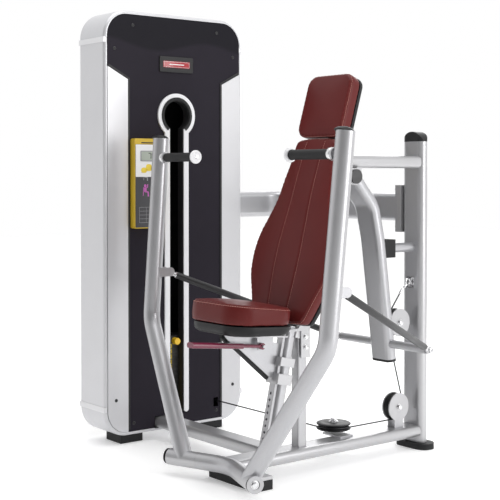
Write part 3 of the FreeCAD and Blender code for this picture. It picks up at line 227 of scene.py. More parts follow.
def add_panel_wave(material):
    """The front panel's two tones, which meet along a wave below its top."""
    wave = Nodes(material.node_tree)
    colour = material.node_tree.nodes["Principled BSDF"].inputs["Base Color"]
    place = wave.add("ShaderNodeTexCoord").outputs["Object"]
    parts = wave.add("ShaderNodeSeparateXYZ", Vector=place)
    across = wave.maths("ADD", parts.outputs["Y"], -TOWER_Y - 0.03)
    swing = wave.maths("SINE", wave.maths("MULTIPLY", across, 13.0))
    line = wave.maths("ADD", wave.maths("MULTIPLY", swing, 0.020), 1.515)
    above = wave.maths("SUBTRACT", parts.outputs["Z"], line)
    share = wave.spread(above, 0.0, 1.0, -0.006, 0.010)
    wave.feed(colour, wave.mixed(share, colour.links[0].from_socket, (0.014, 0.013, 0.017, 1)))


FINISHES = {}


def slot_finish(slot, *look, **details):
    """The finish of one of the record's material slots."""
    FINISHES[slot] = finish(slot, *look, **details)


slot_finish("frame_paint", (0.44, 0.44, 0.455), 0.32, metallic=0.65, grain=0.008, grain_size=0.5,
            flakes=0.18, wear=0.25, edge=1.2)
slot_finish("tower_silver", (0.60, 0.60, 0.62), 0.34, metallic=0.35, grain=0.02, grain_size=0.4,
            flakes=0.12, wear=0.15, edge=1.0)
slot_finish("pale_trim", (0.80, 0.80, 0.82), 0.30, grain=0.02, wear=0.1, edge=0.8)
slot_finish("panel_charcoal", (0.022, 0.019, 0.026), 0.45, specular=0.06, grain=0.015, grain_size=0.6,
            mottle=0.1, edge=1.0)
slot_finish("black_plastic", (0.012, 0.012, 0.013), 0.42, grain=0.05, grain_size=0.6, mottle=0.15,
            wear=0.03, edge=1.2, specular=0.25)
slot_finish("rubber_black", (0.014, 0.014, 0.015), 0.62, grain=0.12, grain_size=0.9, mottle=0.2, edge=1.5,
            specular=0.3)
slot_finish("maroon_leather", (0.114, 0.015, 0.014), 0.36, grain=0.12, grain_size=1.5, mottle=0.16,
            leather=True, specular=0.18)
slot_finish("bright_steel", (0.72, 0.72, 0.73), 0.20, metallic=1.0, grain=0.02, grain_size=0.3,
            brushed=True, mottle=0.06, edge=0.6)
slot_finish("dark_steel", (0.016, 0.016, 0.018), 0.36, coat=0.1, specular=0.3, grain=0.04, mottle=0.15,
            wear=0.15, edge=0.8)
slot_finish("cast_weights", (0.028, 0.028, 0.028), 0.6, grain=0.2, grain_size=1.6, mottle=0.2, wear=0.2,
            edge=1.0)
slot_finish("cable_jacket", (0.012, 0.012, 0.013), 0.35, grain=0.05, grain_size=0.8, mottle=0.1)
slot_finish("lever_maroon", (0.16, 0.012, 0.040), 0.25, coat=0.5, grain=0.02, mottle=0.08, edge=1.5)
slot_finish("pin_yellow", (0.78, 0.48, 0.02), 0.33, grain=0.03, mottle=0.06, edge=0.8)
slot_finish("placard_yellow", (0.62, 0.42, 0.03), 0.45, grain=0.05, mottle=0.06, edge=1.5)
add_panel_wave(FINISHES["panel_charcoal"])
THREAD = finish("thread", (0.55, 0.24, 0.20), 0.7, grain=0.1, grain_size=0.5)
PRINT_WHITE = finish("print_white", (0.80, 0.80, 0.80), 0.4, grain=0.01)
PRINT_DARK = finish("print_dark", (0.045, 0.045, 0.05), 0.35, grain=0.01)
PRINT_GREY = finish("print_grey", (0.30, 0.30, 0.31), 0.4, grain=0.01)
PRINT_MAGENTA = finish("print_magenta", (0.55, 0.12, 0.45), 0.4, grain=0.01)
PRINT_YELLOW = finish("print_yellow", (0.80, 0.60, 0.05), 0.4, grain=0.01)
SCREEN = finish("screen_glass", (0.36, 0.40, 0.34), 0.16, coat=0.6, mottle=0.05)
INK = finish("ink", (0.010, 0.010, 0.010), 0.4, grain=0.01)
BADGE_RED = finish("badge_red", (0.36, 0.012, 0.020), 0.28, coat=0.4, mottle=0.08)


def dress_cad_nodes():
    """Every carried-over CAD node gets the finish of its record slot."""
    for part in frame["record"]["subparts"]:
        mesh = nodes[part["node"]].data
        if not mesh.materials:
            mesh.materials.append(None)
        for index in range(len(mesh.materials)):
            mesh.materials[index] = FINISHES[part["material_slot"]]


# ---------------------------------------------------------------- mesh helpers

def side_of(axis):
    """Two directions across an axis."""
    guide = Z if abs(axis.normalized().dot(Z)) < 0.9 else X
    side = axis.cross(guide).normalized()
    return side, axis.cross(side).normalized()


class Shape:
    """Gathers the closed forms of one piece."""

    def __init__(self):
        self.points, self.faces = [], []

    def add(self, points, faces):
        start = len(self.points)
        self.points += points
        self.faces += [tuple(start + index for index in face) for face in faces]

    def rings(self, rings, closed=False):
        """Skin rings of equally many points; the ends are capped unless the rings close on themselves."""
        count = len(rings[0])
        pairs = [(row, row + 1) for row in range(len(rings) - 1)]
        if closed:
            pairs.append((len(rings) - 1, 0))
        faces = [(low * count + i, low * count + (i + 1) % count, high * count + (i + 1) % count,
                  high * count + i)
                 for low, high in pairs for i in range(count)]
        if not closed:
            faces.append(tuple(reversed(range(count))))
            faces.append(tuple((len(rings) - 1) * count + i for i in range(count)))
        self.add([point for ring in rings for point in ring], faces)

    def lathe(self, profile, foot, axis, count=48, closed=False):
        """Turn (radius, distance along the axis) pairs about an axis through foot; all in metres."""
        axis = axis.normalized()
        side, other = side_of(axis)
        turns = [2 * math.pi * i / count for i in range(count)]
        self.rings([[foot + axis * along + (side * math.cos(a) + other * math.sin(a)) * radius for a in turns]
                    for radius, along in profile], closed)

    def tube(self, line, radius, count=12):
        """A round bar along a line of points."""
        side = side_of(line[1] - line[0])[0]
        rings = []
        for index, point in enumerate(line):
            ahead = line[min(index + 1, len(line) - 1)] - line[max(index - 1, 0)]
            ahead.normalize()
            side = (side - ahead * side.dot(ahead)).normalized()
            other = ahead.cross(side)
            rings.append([point + (side * math.cos(a) + other * math.sin(a)) * radius
                          for a in (2 * math.pi * i / count for i in range(count))])
        self.rings(rings)

    def plate(self, outline, origin, across, up, thick, round_edge=0.0):
        """A plate of any outline, given as (x, y) pairs along across and up, standing on its origin."""
        out = across.cross(up).normalized()
        levels = [(0.0, 0.0), (0.0, thick)]
        if round_edge:
            levels = [(0.0, 0.0), (0.0, thick - round_edge), (round_edge * 0.3, thick - round_edge * 0.3),
                      (round_edge, thick)]
        self.rings([[origin + across * x + up * y + out * height for x, y in inset(outline, pull)]
                    for pull, height in levels])

    def piece(self, name, look, body="frame", stands_for=None, smooth=True, angle=35):
        """Make the piece. A look is a material, or the name of the record's slot that has it."""
        mesh = bpy.data.meshes.new(name)
        mesh.from_pydata([tuple(point) for point in self.points], [], self.faces)
        work = bmesh.new()
        work.from_mesh(mesh)
        bmesh.ops.recalc_face_normals(work, faces=work.faces)
        if smooth:
            for face in work.faces:
                face.smooth = True
            for edge in work.edges:
                edge.smooth = edge.is_manifold and edge.calc_face_angle(0.0) < math.radians(angle)
        work.to_mesh(mesh)
        work.free()
        made = bpy.data.objects.new(name, mesh)
        bpy.context.scene.collection.objects.link(made)
        mesh.materials.append(FINISHES.get(look, look))
        if body:
            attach(made, body)
        if stands_for:
            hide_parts(stands_for)
        return made


def mm(*pairs):
    """Pairs of millimetres in metres."""
    return [(first * MM, second * MM) for first, second in pairs]


def inset(outline, distance):
    """An outline pulled in along its normals; it runs anticlockwise."""
    if not distance:
        return outline
    made = []
    for index, (x, y) in enumerate(outline):
        before, after = outline[index - 1], outline[(index + 1) % len(outline)]
        first = Vector((x - before[0], y - before[1])).normalized()
        second = Vector((after[0] - x, after[1] - y)).normalized()
        inward = Vector((-first.y - second.y, first.x + second.x)).normalized()
        reach = distance / max(0.5, inward.dot(Vector((-first.y, first.x))))
        made.append((x + inward.x * reach, y + inward.y * reach))
    return made


def round_rectangle(width, height, corner, steps=8):
    """An anticlockwise rectangle with round corners, centred on nought."""
    made = []
    for cx, cy, turn in ((1, -1, -90), (1, 1, 0), (-1, 1, 90), (-1, -1, 180)):
        for step in range(steps + 1):
            angle = math.radians(turn + 90 * step / steps)
            made.append((cx * (width / 2 - corner) + corner * math.cos(angle),
                         cy * (height / 2 - corner) + corner * math.sin(angle)))
    return made


def smooth_outline(points, rounds, count):
    """A closed outline with its corners cut off a few times, as evenly spaced points."""
    for _ in range(rounds):
        cut = []
        for (ax, ay), (bx, by) in zip(points, points[1:] + points[:1]):
            cut += [(ax * 0.75 + bx * 0.25, ay * 0.75 + by * 0.25),
                    (ax * 0.25 + bx * 0.75, ay * 0.25 + by * 0.75)]
        points = cut
    return even_line([Vector(point) for point in points], count, closed=True)


def even_line(points, count, closed=False):
    """Evenly spaced points along a line."""
    line = points + points[:1] if closed else points
    lengths = [(b - a).length for a, b in zip(line, line[1:])]
    step = sum(lengths) / (count if closed else count - 1)
    made, index, passed = [], 0, 0.0
    for number in range(count):
        wanted = number * step
        while index < len(lengths) - 1 and passed + lengths[index] < wanted:
            passed += lengths[index]
            index += 1
        share = min(1.0, (wanted - passed) / max(lengths[index], 1e-9))
        point = line[index].lerp(line[index + 1], share)
        made.append((point.x, point.y) if closed else point)
    return made


# ---------------------------------------------------------------- upholstery

class Pad:
    """A cushion set out on a plane: local x across, y up its face and depth into it, in metres."""

    def __init__(self, name, origin, up, into, outline, thick, body, replaced, stretch=None):
        self.name, self.origin, self.up, self.into = name, origin, up, into
        self.outline, self.thick, self.body, self.replaced = outline, thick, body, replaced
        self.stretch = stretch or (lambda y: 1.0)

    def at(self, x, y, depth):
        return self.origin + X * x + self.up * y + self.into * (depth * self.stretch(y))

    def local(self, point):
        gap = point - self.origin
        y = gap.dot(self.up)
        return gap.x, y, gap.dot(self.into) / self.stretch(y)

    def loft(self, profile, crown):
        """A closed form from (inset, depth) pairs, front to back, with a crowned front."""
        rings = []
        middle = Vector((sum(x for x, _ in self.outline),
                         sum(y for _, y in self.outline))) / len(self.outline)
        rim = inset(self.outline, profile[0][0])
        for share in (0.04, 0.2, 0.4, 0.6, 0.78, 0.9):
            depth = profile[0][1] - crown * (1 - share ** 2.2)
            rings.append([self.at(*middle.lerp(Vector(point), share), depth) for point in rim])
        for pull, depth in profile:
            rings.append([self.at(x, y, depth) for x, y in inset(self.outline, pull)])
        inner = inset(self.outline, profile[-1][0])
        for share in (0.6, 0.05):
            rings.append([self.at(*middle.lerp(Vector(point), share), profile[-1][1]) for point in inner])
        shape = Shape()
        shape.rings(rings)
        return shape


def remesh(piece, size):
    change = piece.modifiers.new("remesh", "REMESH")
    change.mode, change.voxel_size = "VOXEL", size
    keep_modifiers(piece)


def keep_modifiers(piece):
    """Turn a piece's modifiers into its mesh."""
    graph = bpy.context.evaluated_depsgraph_get()
    graph.update()
    mesh = bpy.data.meshes.new_from_object(piece.evaluated_get(graph))
    piece.modifiers.clear()
    piece.data = mesh


def swell(piece, held, pressure, cap):
    """Blow a cushion up with cloth pressure, its held points kept and no point moved past the cap."""
    group = piece.vertex_groups.new(name="held")
    group.add(held, 1.0, "REPLACE")
    cloth = piece.modifiers.new("swell", "CLOTH")
    settings = cloth.settings
    settings.quality = 5
    settings.mass = 0.3
    settings.tension_stiffness = settings.compression_stiffness = 14
    settings.shear_stiffness = 8
    settings.bending_stiffness = 0.8
    settings.use_pressure = True
    settings.uniform_pressure_force = pressure
    settings.effector_weights.gravity = 0
    settings.vertex_group_mass = "held"
    cloth.collision_settings.use_collision = False
    scene = bpy.context.scene
    for number in range(1, 21):
        scene.frame_set(number)
    graph = bpy.context.evaluated_depsgraph_get()
    moved = [vertex.co.copy() for vertex in piece.evaluated_get(graph).data.vertices]
    piece.modifiers.clear()
    piece.vertex_groups.clear()
    for vertex, target in zip(piece.data.vertices, moved):
        gap = target - vertex.co
        vertex.co += gap * min(1.0, cap / max(gap.length, 1e-9))
    scene.frame_set(1)


def skin_of(piece):
    """A piece's surface, to find the nearest points on."""
    work = bmesh.new()
    work.from_mesh(piece.data)
    tree = BVHTree.FromBMesh(work)
    work.free()
    return tree


def surface_line(piece, line, count):
    """A line laid on a piece's surface, evenly spaced, with the surface's normals."""
    tree = skin_of(piece)
    laid = [tree.find_nearest(point)[0] for point in line]
    laid = even_line(laid, count)
    return [tree.find_nearest(point)[:2] for point in laid]


def sew(piece, seams, depth, width, pucker):
    """Press a groove along each seam line and gather the leather a little beside it."""
    spots = [spot for seam in seams for spot in seam]
    tree = KDTree(len(spots))
    for index, (point, _) in enumerate(spots):
        tree.insert(point, index)
    tree.balance()
    mesh = piece.data
    normals = [vertex.normal.copy() for vertex in mesh.vertices]
    for vertex, normal in zip(mesh.vertices, normals):
        _, index, gap = tree.find(vertex.co)
        if gap < width * 5:
            press = depth * math.exp(-(gap / width) ** 2)
            ripple = pucker * math.cos(index * 0.9) * math.exp(-((gap - width * 1.6) / (width * 1.5)) ** 2)
            vertex.co -= normal * (press + ripple)
    mesh.update()


def stitches(name, piece, seams, body, aside, pitch=0.0075, long=0.0052, radius=0.0007):
    """Rows of thread beside the seams, lying on the finished leather."""
    thread = Shape()
    tree = skin_of(piece)
    for seam in seams:
        points = [point for point, _ in seam]
        length = sum((b - a).length for a, b in zip(points, points[1:]))
        row = even_line(points, max(8, int(length / pitch)))
        for index in range(len(row) - 1):
            ahead = (row[index + 1] - row[index]).normalized()
            _, normal, *_ = tree.find_nearest(row[index])
            shift = ahead.cross(normal).normalized() * aside
            line = []
            for share in (0.0, 0.25, 0.5, 0.75, 1.0):
                spot, up, *_ = tree.find_nearest(row[index] + shift + ahead * long * share)
                line.append(spot + up * radius * (0.9 * math.sin(math.pi * share) - 0.1))
            thread.tube(line, radius, 6)
    return thread.piece(name, THREAD, body)


def upholster(pad, profile, crown, seam_lines, edge_depth, voxel, pressure, cap):
    """A leather cushion: lofted, remeshed, blown up between its held seams, then grooved and stitched."""
    cushion = pad.loft(profile, crown).piece(pad.name, FINISHES["maroon_leather"], None)
    remesh(cushion, voxel)
    edge = [pad.at(x, y, edge_depth) for x, y in inset(pad.outline, 0.002)]
    edge.append(edge[0].copy())
    lines = seam_lines + [edge]
    marks = KDTree(sum(len(line) for line in lines))
    for line in lines:
        for point in line:
            marks.insert(point, 0)
    marks.balance()
    held = []
    for vertex in cushion.data.vertices:
        _, _, depth = pad.local(vertex.co)
        if depth > pad.thick * 0.72 or marks.find(vertex.co)[2] < voxel * 0.9:
            held.append(vertex.index)
    swell(cushion, held, pressure, cap)
    cushion.modifiers.new("soften", "SUBSURF").levels = 1
    keep_modifiers(cushion)
    for polygon in cushion.data.polygons:
        polygon.use_smooth = True
    cushion.data.materials.clear()
    cushion.data.materials.append(FINISHES["maroon_leather"])
    seams = [surface_line(cushion, line, max(20, int(even_length(line) / 0.0025))) for line in lines]
    sew(cushion, seams, 0.0026, 0.0032, 0.00035)
    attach(cushion, pad.body)
    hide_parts(pad.replaced)
    stitches(pad.name + "_stitching", cushion, seams, pad.body, 0.0028)
    return cushion, seams


def even_length(line):
    return sum((b - a).length for a, b in zip(line, line[1:]))


RECLINE_UP = Vector((0, 0.28735, 0.95783))
RECLINE_INTO = Vector((0, 0.95783, -0.28735))
PAD_ORIGIN = Vector((PRESS_X, -0.138, 0.632))
PAD_THICK, SHELL_BACK = 0.0455, 0.068
# How far the cushion's top and the underside's top fall from the seat's front to its rear.
SEAT_FALL, PAN_FALL = 0.034, 0.018
# Half-widths of the backrest at heights up its face, in millimetres.
BACKREST_SIDE = [(-113, 120), (-100, 137), (-21, 168), (27, 191), (68, 202), (130, 205), (192, 194),
                 (255, 164), (319, 137), (387, 128), (453, 112), (518, 107), (541, 94)]
right_side = [(half * MM, up * MM) for up, half in BACKREST_SIDE]
left_side = [(-x, y) for x, y in reversed(right_side)]
BACKREST_OUTLINE = smooth_outline(right_side + left_side, 3, 200)


def channel_line(pad, side, low, high, depth):
    """One of the backrest's long seams, which bow outward at the shoulders."""
    line = []
    for step in range(201):
        y = low + (high - low) * step / 200
        bow = math.exp(-((y - 0.11) / 0.16) ** 2)
        line.append(pad.at(side * (0.047 + 0.013 * bow), y, depth(side * 0.05, y)))
    return line


def add_backing(name, origin, outline, node, profile):
    """The moulded shell behind a cushion, a little smaller than it."""
    back = Pad(name, origin, RECLINE_UP, RECLINE_INTO, inset(outline, 0.003), SHELL_BACK, "frame", node)
    back.loft(profile, 0.0).piece(name, "black_plastic", "frame", node)


def make_backrest():
    pad = Pad("backrest_cushion", PAD_ORIGIN, RECLINE_UP, RECLINE_INTO, BACKREST_OUTLINE, PAD_THICK, "frame",
              "backrest_pad")
    profile = mm((10, 0), (4, 1.2), (1, 5), (0, 16), (1, 30), (3, 40), (5, 44.5))
    lines = [channel_line(pad, side, -0.105, 0.533, lambda x, y: -0.012) for side in (-1, 1)]
    upholster(pad, profile, 0.013, lines, 0.0035, 0.006, 4.0, 0.012)
    add_backing("backrest_back", PAD_ORIGIN, BACKREST_OUTLINE, "backrest_shell",
                mm((2, 45.2), (0, 47), (0, 55), (3, 62), (10, 66.5), (20, 68)))


def make_headrest():
    middle = PAD_ORIGIN + RECLINE_UP * 0.661
    outline = smooth_outline(round_rectangle(0.230, 0.230, 0.040), 1, 160)
    pad = Pad("headrest_cushion", middle, RECLINE_UP, RECLINE_INTO, outline, 0.0475, "frame", "headrest_pad")
    profile = mm((10, 0), (4, 1.2), (1, 5), (0, 18), (2, 38), (4, 47))
    upholster(pad, profile, 0.008, [], 0.0035, 0.005, 4.0, 0.010)
    add_backing("headrest_back", middle, outline, "headrest_shell",
                mm((2, 47.7), (0, 49), (0, 56), (3, 63), (10, 66.8), (18, 68)))


def make_seat():
    """The seat's cushion and its black underside, both thicker at the front."""
    low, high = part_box("seat_pad")
    length = high.y - low.y
    middle_y = (low.y + high.y) / 2
    fall = Vector((0, length, -SEAT_FALL)).normalized()
    into = Vector((0, fall.z, -fall.y))
    outline = smooth_outline(round_rectangle(0.296, length / fall.y, 0.084), 1, 180)
    pad = Pad("seat_cushion", Vector((PRESS_X, middle_y, high.z - SEAT_FALL / 2)), fall, into, outline, 0.062,
              "seat_carriage", "seat_pad", lambda y: 1.0 - y * 0.95)
    profile = mm((12, 0), (5, 1.5), (1.5, 5.5), (0, 20), (1, 45), (4, 61.5))
    upholster(pad, profile, 0.008, [], 0.0035, 0.005, 4.0, 0.010)
    pan_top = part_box("seat_pan")[1].z
    pan_outline = smooth_outline(round_rectangle(0.292, length - 0.004, 0.083), 1, 180)
    pan = Pad("seat_underside", Vector((PRESS_X, middle_y, pan_top - PAN_FALL / 2)),
              Vector((0, length, -PAN_FALL)).normalized(), Vector((0, -PAN_FALL, -length)).normalized(),
              pan_outline, 0.035, "seat_carriage", "seat_pan", lambda y: 1.0 - y * 0.6)
    shell = pan.loft(mm((3, 0.8), (0, 2), (0, 14), (2, 22), (8, 29), (18, 33), (30, 34.5)), 0.0)
    shell.piece("seat_underside", "black_plastic", "seat_carriage", "seat_pan")


# ---------------------------------------------------------------- arms, grips and links

def hex_outline(across):
    return [(across / 2 * math.cos(math.radians(60 * i)), across / 2 * math.sin(math.radians(60 * i)))
            for i in range(6)]


def add_hex(shape, across, thick, foot, axis):
    """A hexagonal bolt head or nut standing on foot."""
    side, other = side_of(axis.normalized())
    if side.cross(other).dot(axis) < 0:
        side, other = other, side
    shape.plate(hex_outline(across), foot, side, other, thick, thick * 0.18)


ARM_TOP_Z, ARM_TOP_Y = 1.152, -0.308
HANDLE_Y, HANDLE_Z = -0.318, 1.083
SPLAY = math.radians(20)


def make_arm_ends(side, name):
    body = name + "_arm"
    knee = Vector((PRESS_X + side * 0.471, -0.364, 0.500))
    top = Vector((PRESS_X + side * 0.489, ARM_TOP_Y, ARM_TOP_Z))
    tilt = (top - knee).normalized()
    cap = Shape()
    cap.lathe(mm((26.2, -4), (26.2, 0), (29.6, 0.4), (29.8, 3.5), (28.5, 5.5), (27, 6.2), (24.5, 8.5),
                 (19, 11.2), (11, 12.8), (2, 13.2)), top, tilt, 48)
    hub_end = Vector((PRESS_X + side * 0.120, -0.406, 0.062)) + Vector(
        (side * math.cos(SPLAY), -math.sin(SPLAY), 0)) * 0.120
    out = Vector((side * math.cos(SPLAY), -math.sin(SPLAY), 0))
    cap.lathe(mm((26.2, 0), (26.5, 3), (25.5, 5.2), (23.5, 6.2), (17, 5.6), (15, 4.8), (2, 4.8)), hub_end,
              out, 48)
    cap.piece(name + "_arm_caps", "black_plastic", body, name + "_arm_ends")
    bolt = Shape()
    bolt.lathe(mm((12.5, 0), (12.5, 1.5), (11.8, 2), (2, 2)), hub_end + out * 0.0046, out)
    add_hex(bolt, 0.019, 0.0062, hub_end + out * 0.006, out)
    bolt.piece(name + "_hub_bolt", "bright_steel", body)

    inner = Vector((PRESS_X + side * 0.260, HANDLE_Y, HANDLE_Z))
    inward = X * -side
    disc = Shape()
    disc.lathe(mm((11.5, 0), (17.5, 0.6), (22.5, 2), (23.5, 4), (23.5, 8.5), (22.6, 10.3), (20.5, 11),
                  (16.5, 10.6), (15, 9.4), (12.5, 9.4), (11, 10.6), (2, 10.8)), inner, inward, 56)
    disc.piece(name + "_handle_disc", "pale_trim", body)
    screw = Shape()
    screw.lathe(mm((6.2, 0), (6.2, 2.4), (5.4, 3), (3.4, 3), (3, 1.4), (0.6, 1.2)), inner + inward * 0.0104,
                inward, 24)
    screw.piece(name + "_handle_screw", "bright_steel", body)
    ring = Shape()
    root = Vector((PRESS_X + side * 0.440, HANDLE_Y, HANDLE_Z))
    ring.lathe(mm((11.2, 0), (19.6, 0.4), (20.4, 1.6), (20.4, 14), (19.6, 15.4), (11.2, 16)), root,
               X * side, 48, closed=True)
    ring.piece(name + "_grip_collar", "bright_steel", body)

    grip = Shape()
    length = 0.180
    outside = [(0.0152, 0.0), (0.0166, 0.0008), (0.0170, 0.0022), (0.0170, 0.0046), (0.0162, 0.0060)]
    steps = 26
    for step in range(steps + 1):
        along = 0.010 + (length - 0.020) * step / steps
        outside += [(0.01585, along - 0.0018), (0.01605, along), (0.01585, along + 0.0018)]
    outside += [(radius, length - along) for radius, along in reversed(outside[:5])]
    grip.lathe(outside + [(0.0111, length), (0.0111, 0.0)], inner, X * side, 48, closed=True)
    grip.piece(name + "_grip_sleeve", "rubber_black", body, name + "_grip", angle=60)


BALL_RADIUS = 0.0095
# The ears' outer faces, from the link's end, and how far a washer is let into them.
EAR_FACE, WASHER_SUNK = 0.0210, 0.0002


def make_link(side, name):
    """A black tube with a plated ball end at each end."""
    body = name + "_link"
    rear = Vector((PRESS_X + side * 0.234, 0.3365, 0.406))
    front = Vector((PRESS_X + side * 0.467, -0.296, 0.669))
    along = (front - rear).normalized()
    ring_axis = (X - along * X.dot(along)).normalized()
    tube = Shape()
    length = (front - rear).length
    tube.lathe([(0.0085, 0.040), (0.0112, 0.0402), (0.0120, 0.0415), (0.0120, length - 0.0415),
                (0.0112, length - 0.0402), (0.0085, length - 0.040)], rear, along, 40)
    tube.piece(name + "_link_tube", "dark_steel", body, name + "_link")
    ends = Shape()
    for eye, inward in ((rear, along), (front, along * -1)):
        ends.lathe(mm((9.8, -5.2), (12.8, -6), (13.8, -5), (14, 0), (13.8, 5), (12.8, 6), (9.8, 5.2)), eye,
                   ring_axis, 48, closed=True)
        ends.lathe(mm((6.2, 12), (8.2, 13), (8.2, 30), (7.4, 30.8), (7.4, 42)), eye, inward, 32)
        add_hex(ends, 0.0225, 0.0065, eye + inward * 0.0335, inward)
    ends.lathe(mm((4.6, -12), (5, -11.5), (5, 11.5), (4.6, 12)), front, ring_axis, 24)
    turns = [math.radians(degrees) for degrees in range(33, 148, 6)]
    ball = [(BALL_RADIUS * math.sin(turn), -BALL_RADIUS * math.cos(turn)) for turn in turns]
    ends.lathe(ball, front, ring_axis, 32)
    ends.piece(name + "_link_ends", "bright_steel", body)
    pin = Shape()
    for out in (X * side, X * -side):
        add_hex(pin, 0.019, 0.006, front + out * EAR_FACE, out)
    for out in (X * side, X * -side):
        pin.lathe(mm((11.5, 0), (11.5, 1.4), (4, 1.6)), front + out * (EAR_FACE - WASHER_SUNK), out, 32)
    pin.piece(name + "_ear_bolts", "bright_steel", name + "_arm")
    end_pin = Shape()
    tip = rear + X * side * 0.010
    end_pin.lathe(mm((7, 0), (8.5, 1), (8.5, 5), (6, 6.4), (1, 6.8)), tip, X * side, 32)
    end_pin.piece(name + "_crossbar_nut", "bright_steel", "rocker")


# ---------------------------------------------------------------- pulleys and cables

def make_wheel(name, body, node, centre, axis, groove, rim, width):
    """A grooved nylon wheel with a hub, a web and lightening pockets' rings on both faces."""
    half = width / 2
    low = groove - 0.0031
    wheel = Shape()
    web = half * 0.45
    side = [(0.0082, half), (0.0150, half), (0.0162, half * 0.9), (0.0172, web), (rim - 0.0150, web),
            (rim - 0.0130, half * 0.92), (rim - 0.0115, half), (rim - 0.0015, half), (rim, half - 0.0015)]
    groove_side = [(rim, half * 0.62), (rim - 0.0015, half * 0.50), (low + 0.0022, 0.0034),
                   (low + 0.0006, 0.0018), (low, 0.0)]
    profile = side + groove_side
    profile += [(radius, -along) for radius, along in reversed(groove_side[:-1])]
    profile += [(radius, -along) for radius, along in reversed(side)]
    wheel.lathe(profile, centre, axis, 72, closed=True)
    wheel.piece(name, "black_plastic", body, node)
    bearing = Shape()
    for sign in (-1, 1):
        bearing.lathe([(0.0083, 0.0), (0.0083, half * 0.98), (0.0145, half * 0.98), (0.0145, 0.0)], centre,
                      axis * sign, 40, closed=True)
    bearing.piece(name + "_bearing", "bright_steel", body)


def middle_of(node):
    low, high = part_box(node)
    return (low + high) / 2


def make_pulleys():
    for word, axis, groove in (("base", X, 0.046), ("moving", X, 0.046), ("stack", X, 0.046),
                               ("turn", X, 0.046), ("outlet", Y, 0.030)):
        node = word + "_pulley"
        low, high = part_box(node)
        rim = (high.z - low.z) / 2
        make_wheel(word + "_wheel", node, node, middle_of(node), axis, groove, rim, 0.026)
    centre = middle_of("floor_pulley")
    wheel = Shape()
    wheel.lathe(mm((8.2, -15), (20, -15), (56, -12.8), (61, -10.5), (62, -8.5), (61.2, -6.6), (56, -3.4),
                   (54.2, 0), (56, 3.4), (61.2, 6.6), (62, 8.5), (61, 10.5), (56, 12.5), (44, 13.8),
                   (42, 13.4), (29, 14.2), (26, 15), (8.2, 15)), centre, Z, 88, closed=True)
    wheel.piece("floor_wheel", "black_plastic", "floor_pulley", "floor_pulley")
    hub = Shape()
    hub.lathe(mm((8.3, 14), (8.3, 15.8), (16.5, 15.8), (17.5, 15), (17.5, 14)), centre, Z, 40, closed=True)
    hub.piece("floor_wheel_washer", "bright_steel", "floor_pulley")
    for word, body in (("base", "frame"), ("moving", "rocker")):
        middle = middle_of(word + "_pulley")
        bolts = Shape()
        for sign in (-1, 1):
            face = middle + X * sign * 0.0185
            bolts.lathe(mm((12, 0), (12, 1.8), (4, 2)), face, X * sign, 32)
            add_hex(bolts, 0.0195, 0.0070, face + X * sign * 0.0018, X * sign)
        bolts.piece(word + "_wheel_bolts", "bright_steel", body)


CABLE_RADIUS = 0.0025


def arc_points(centre, start, end, steps):
    """Points round a centre from start to end the short way."""
    first, last = start - centre, end - centre
    turn = first.angle(last)
    axis = first.cross(last).normalized()
    return [centre + _spun(first, axis, turn * step / steps) for step in range(steps + 1)]


def _spun(vector, axis, angle):
    return (vector * math.cos(angle) + axis.cross(vector) * math.sin(angle)
            + axis * axis.dot(vector) * (1 - math.cos(angle)))


def tangent(centre, other, side, radius):
    """Where a straight cable leaves one pulley for another of the same size on its other side."""
    gap = other - centre
    swing = math.acos(2 * radius / gap.length)
    return centre + _spun(gap.normalized(), X, side * swing) * radius


def make_cables():
    base = Vector((PRESS_X, 0.404, 0.163))
    moving = Vector((PRESS_X, 0.409, 0.475))
    anchor = Vector((PRESS_X, 0.447, 0.597))
    radius = 0.046
    leave_base = tangent(base, moving, -1, radius)
    meet_moving = tangent(moving, base, -1, radius)
    to_anchor = anchor - moving
    leave_moving = moving + _spun(to_anchor.normalized(), X, math.acos(radius / to_anchor.length)) * radius

    def span(name, start, end, node):
        """A straight cable whose two ends follow two bodies."""
        shape = Shape()
        shape.tube([start, end], CABLE_RADIUS, 16)
        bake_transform(shape.piece(name, "cable_jacket", None, node))

    span("lower_cable_run", leave_base, meet_moving, "lower_cable_span")
    span("upper_cable_run", leave_moving, anchor, "upper_cable_span")
    low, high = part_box("stack_cable")
    middle = (low + high) / 2
    span("stack_cable_run", Vector((middle.x, middle.y, high.z)), Vector((middle.x, middle.y, low.z)),
         "stack_cable")
    wrap = Shape()
    far = moving - Y * radius
    wrap.tube(arc_points(moving, meet_moving, far, 12) + arc_points(moving, far, leave_moving, 14)[1:],
              CABLE_RADIUS, 16)
    wrap.piece("moving_wheel_cable", "cable_jacket", "rocker")
    ferrule = Shape()
    pull = (leave_moving - anchor).normalized()
    ferrule.lathe(mm((2.8, 0), (4.2, 1), (4.4, 20), (3.6, 24), (2.7, 25)), anchor, pull, 24)
    ferrule.piece("cable_ferrule", "bright_steel")


# ---------------------------------------------------------------- tower

def tower_point(y, z, proud=0.0):
    return Vector((TOWER_FACE + proud, TOWER_Y + y, z))


def front_plate(name, outline, y, z, proud, thick, look, edge=0.0):
    """A thin plate on the tower's front, its outline drawn as seen from the front."""
    shape = Shape()
    shape.plate(outline, tower_point(y, z, proud), Y, Z, thick, edge)
    shape.piece(name, look)


def add_front(shape, outline, y, z, proud, thick, edge=0.0):
    shape.plate(outline, tower_point(y, z, proud), Y, Z, thick, edge)


